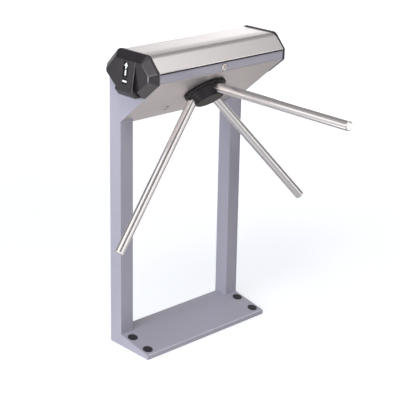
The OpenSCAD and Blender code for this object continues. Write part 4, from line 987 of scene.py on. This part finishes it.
# %% Anchor plugs
BASE_HIGH, BASE_LOW, SLOPE_RUN, SLOPE_REAR = 43, 16, 143, 73
PLUG_X, PLUG_Y = 255, 40
base_slope = atan((BASE_HIGH - BASE_LOW) / SLOPE_RUN)
cap_line = bent_line(
    [(13, 0), (13, -6), (15, -6), (15, 0), (17.5, 0), (17.5, 1.4), (9, 2.0), (0, 2.0)],
    [0, 0.5, 0.5, 0, 0.2, 0.9, 6, 0],
    steps=6,
)
for side, x in (("left", -PLUG_X), ("right", PLUG_X)):
    for end, y in (("front", -PLUG_Y), ("rear", PLUG_Y)):
        z = BASE_HIGH - (SLOPE_REAR - y) * tan(base_slope)
        place = Matrix.Translation(Vector((x, y, z)) * MM) @ Matrix.Rotation(base_slope, 4, "X")
        bm = spun([(0, 0)] + list(cap_line), turns=64)
        plug = piece_from(bm, f"floor_plug_{side}_{end}", place)
        stand_for(plug, "stand", "anchor_plugs")
print("four floor plugs on a slope of", round(base_slope * 180 / pi, 1), "degrees")

# %% [markdown]
# ## Camera
#
# The camera stands where the photograph was taken: at 1.9 m over the floor, on the left, about 4
# m away, with a long lens. Its place was found from the edges of the object, so the picture and
# the model line up.

# %% Camera
YAW, PITCH, ROLL = radians(-43.309), radians(18.242), radians(1.076)
CAMERA_AT = (-2.6759, -2.8520, 1.9312)
SENSOR_MM, LENS_MM, SHIFT_UP = 36, 107.92, -0.1
back = Vector((sin(YAW) * cos(PITCH), -cos(YAW) * cos(PITCH), sin(PITCH)))
right = Vector((0, 0, 1)).cross(back).normalized()
up = back.cross(right)
tilted_right = right * cos(ROLL) + up * sin(ROLL)
tilted_up = up * cos(ROLL) - right * sin(ROLL)
camera_data = bpy.data.cameras.new("camera")
camera_data.sensor_width = SENSOR_MM
camera_data.lens = LENS_MM
camera_data.shift_y = SHIFT_UP
camera = bpy.data.objects.new("camera", camera_data)
turned = Matrix((tilted_right, tilted_up, back)).transposed()
camera.matrix_world = Matrix.Translation(CAMERA_AT) @ turned.to_4x4()
bpy.context.scene.collection.objects.link(camera)
bpy.context.scene.camera = camera
print("camera looks along", [round(-v, 3) for v in back])

# %% [markdown]
# ## The studio round the object
#
# The picture has a white backdrop, and polished steel shows the studio round it, which is not
# white all round. Near the horizon there is the pale backdrop, higher up the dimmer room, and in
# it stand soft boxes, and dark flags that give the metal its dark bands. A picture of a studio
# would do the same, but this needs no image, and each box is one line of a table: the direction
# in which it stands, the angles at which its edge starts and ends, and its strength.

# %% The mirrors' sky
ROOM_LOW, ROOM_HIGH = 0.5, 0.33  # the room's strength near the horizon, and higher up
ROOM_FROM, ROOM_TO = 0.1, 0.4  # between these heights of the view it changes from one to the other
DARK_FLAGS = [
    ((-0.2, -0.68, 0.7), 10, 30, 0.4),
    ((-0.2, 0.9, 0.4), 8, 24, 0.5),
    ((0.98, 0.0, 0.09), 12, 28, 0.6),
]
SOFT_BOXES = [
    ((0.8, 0.6, -0.1), 17, 28, 2.4),
    ((-0.7, 0.7, 0.08), 16, 30, 1.4),
    ((0.3, -0.93, 0.2), 14, 34, 1.3),
    ((-0.55, 0.17, 0.82), 8, 32, 1.4),
    ((0.45, -0.42, 0.79), 6, 28, 1.35),
    ((-0.78, -0.36, 0.52), 12, 24, 2.4),
    ((0.27, 0.95, -0.06), 8, 18, 1.5),
    ((-0.5, -0.86, 0.04), 10, 26, 2.4),
]
world = bpy.data.worlds.new("studio")
bpy.context.scene.world = world
world.use_nodes = True
tree = world.node_tree
direction = add_node(tree, "ShaderNodeTexCoord").outputs["Generated"]


def patch_of_sky(tree, direction, towards, inner_deg, outer_deg, strength):
    """A soft-edged round patch in the mirrors' sky."""
    facing = add_node(
        tree,
        "ShaderNodeVectorMath",
        {0: direction, 1: Vector(towards).normalized()},
        operation="DOT_PRODUCT",
    ).outputs["Value"]
    edge, full = cos(radians(outer_deg)), cos(radians(inner_deg))
    return ramp(tree, facing, edge, full, 0.0, strength, "SMOOTHSTEP")


height = add_node(tree, "ShaderNodeSeparateXYZ", {0: direction}).outputs["Z"]
sky = ramp(tree, height, ROOM_FROM, ROOM_TO, ROOM_LOW, ROOM_HIGH, "SMOOTHSTEP")
for flag in DARK_FLAGS:
    left_over = worked_out(tree, "SUBTRACT", 1.0, patch_of_sky(tree, direction, *flag))
    sky = worked_out(tree, "MULTIPLY", sky, left_over)
for box in SOFT_BOXES:
    sky = worked_out(tree, "MAXIMUM", sky, patch_of_sky(tree, direction, *box))
print(len(SOFT_BOXES), "soft boxes and", len(DARK_FLAGS), "dark flags in the mirrors' sky")

# %% [markdown]
# ## What each kind of ray sees
#
# Light Path tells three kinds of ray apart. The camera sees plain white, mirrors see the sky
# above, and matt surfaces get one even light, so that their colours render as they are written.
# With one sky for all of them, either the backdrop would be grey or the object too bright.

# %% World
MATT = 0.4  # what matt surfaces get from all sides
path = add_node(tree, "ShaderNodeLightPath")
strength = add_node(
    tree,
    "ShaderNodeMix",
    {0: path.outputs["Is Glossy Ray"], 2: MATT, 3: sky},
    data_type="FLOAT",
)
seen = add_node(
    tree,
    "ShaderNodeMix",
    {0: path.outputs["Is Camera Ray"], 2: strength.outputs[0], 3: 1.0},
    data_type="FLOAT",
)
colour = mixed(tree, path.outputs["Is Camera Ray"], linear("#fffbfc"), linear("#f8fbff"))
background = tree.nodes["Background"]
tree.links.new(colour, background.inputs["Color"])
tree.links.new(seen.outputs[0], background.inputs["Strength"])
print("matt surfaces get", MATT, "from all sides")

# %% [markdown]
# ## The floor
#
# The floor is white and runs into the backdrop, and the object's shadow has to stay on it. A
# plain white floor would be grey at this light level, so the camera sees it shine a little, more
# with the distance, until it meets the backdrop's white. In the polished arms the real floor
# shows as darker and lighter stretches, because the soft boxes lit it in pools. Those pools are
# seen by glossy rays alone, and so is the darker floor far behind the object. Each row of the
# table is a pool: its middle, its inner and outer radius in metres, and its strength.

# %% Floor
FLOOR_HALF, FLOOR_DROP = 30, 0.0005  # metres; the drop keeps it clear of the base's underside
AWAY = (0.686, 0.727, 0)  # a fixed direction along the floor, to the rear right
# painted shade on the floor, seen only in mirrors: far behind the object and in the dark patch
DIM_FROM, DIM_TO, DIM_MOST = 1.0, 2.0, 0.75
DARK_PATCH = (1.6, -0.75, 0.3, 0.9, 0.65)
POOLS = [
    (-0.1, -0.4, 0.2, 0.6, 0.22),
    (-0.65, -0.1, 0.15, 0.65, 0.7),
    (2.3, -2.6, 0.4, 1.4, 1.9),
    (0.8, 0.6, 0.2, 0.95, 0.31),
    (-1.1, 0.0, 0.2, 0.55, 2.0),
    (-2.1, -3.0, 0.5, 1.6, 1.4),
    (-2.4, 2.1, 0.5, 1.8, 0.35),
]
SHINE_NEAR, SHINE_FAR = (0.8, 0.55), (4.0, 0.76)  # distance in metres, and what the camera sees
bm = bmesh.new()
bmesh.ops.create_grid(bm, x_segments=2, y_segments=2, size=FLOOR_HALF)
floor = piece_from(bm, "floor")
floor.location.z = -FLOOR_DROP
floor_paint, tree, shader = new_material("floor_white", Roughness=0.4, IOR=1.45)
path = add_node(tree, "ShaderNodeLightPath")
position = add_node(tree, "ShaderNodeNewGeometry").outputs["Position"]


def pool(tree, position, x, y, inner, outer, strength):
    """A soft-edged round pool of light on the floor."""
    apart = add_node(
        tree, "ShaderNodeVectorMath", {0: position, 1: (x, y, 0)}, operation="DISTANCE"
    ).outputs["Value"]
    return ramp(tree, apart, inner, outer, strength, 0.0, "SMOOTHSTEP")


print(len(POOLS), "pools of light on a floor of", 2 * FLOOR_HALF, "m")

# %% [markdown]
# ## The floor's colour, with painted shade for mirrors
#
# Its colour is a white paint. For glossy rays alone it turns to a brownish grey, far behind the
# object and in one patch on the right: a painted shade for the dimmer light there, which the arms
# mirror.

# %% Floor colour
behind = add_node(tree, "ShaderNodeVectorMath", {0: position, 1: AWAY}, operation="DOT_PRODUCT")
dim = ramp(tree, behind.outputs["Value"], DIM_FROM, DIM_TO, 0.0, DIM_MOST, "SMOOTHSTEP")
darker = worked_out(tree, "ADD", dim, pool(tree, position, *DARK_PATCH))
mirrored_dim = worked_out(tree, "MULTIPLY", path.outputs["Is Glossy Ray"], darker)
floor_and_mirrored_shade = mixed(tree, mirrored_dim, linear("#d8dadc"), linear("#75716f"))
tree.links.new(floor_and_mirrored_shade, shader.inputs["Base Color"])
print("the floor is dimmed in mirrors from", DIM_FROM, "m behind the object")

# %% [markdown]
# ## The floor's shine
#
# What the camera sees of the floor is lifted to white with emission, which can't tint or light
# the object, because only camera rays see it. The pools are added for glossy rays in the same
# way.

# %% Floor shine
pools = pool(tree, position, *POOLS[0])
for row in POOLS[1:]:
    pools = worked_out(tree, "ADD", pools, pool(tree, position, *row))
mirrored = worked_out(tree, "MULTIPLY", path.outputs["Is Glossy Ray"], pools)
distance = add_node(tree, "ShaderNodeVectorMath", {0: position}, operation="LENGTH")
(near, seen_near), (far, seen_far) = SHINE_NEAR, SHINE_FAR
seen = ramp(tree, distance.outputs["Value"], near, far, seen_near, seen_far, "SMOOTHSTEP")
shine = worked_out(tree, "MULTIPLY_ADD", path.outputs["Is Camera Ray"], seen, mirrored)
glow = mixed(tree, path.outputs["Is Glossy Ray"], linear("#f4f9ff"), linear("#fff6ef"))
tree.links.new(glow, shader.inputs["Emission Color"])
tree.links.new(shine, shader.inputs["Emission Strength"])
floor.data.materials.append(floor_paint)
print(floor.name, "is marked as stage")

# %% [markdown]
# ## Lamps
#
# Two round soft boxes light the matt surfaces: a large one far out on the left, slightly cool,
# and a small one over the head, slightly warm. They are real area lamps, so they give the object
# its soft shadow. Mirrors don't see them, because the sky above already holds what mirrors show.


# %% Lamps
LAMPS_AIM_AT = (0, 0, 0.55)


def lamp(name, towards, distance, size, power, colour):
    """A round area lamp that shines on the object's middle and is not seen in mirrors."""
    data = bpy.data.lights.new(name, "AREA")
    data.shape, data.size, data.energy = "DISK", size, power
    data.color = linear(colour)[:3]
    light = bpy.data.objects.new(name, data)
    light.visible_glossy = False
    target = Vector(LAMPS_AIM_AT)
    light.location = target + Vector(towards).normalized() * distance
    light.rotation_euler = (light.location - target).to_track_quat("Z", "Y").to_euler()
    bpy.context.scene.collection.objects.link(light)


lamp("soft_box_left", (-0.93, -0.1, 0.3), 8, 4.5, 375, "#f2f4ff")
lamp("soft_box_top", (-0.44, -0.28, 0.85), 3.5, 1.2, 39, "#fffaf6")

# %% [markdown]
# ## Colour management
#
# Standard shows a colour as it is written.

# %% Finish
bpy.context.scene.view_settings.view_transform = "Standard"
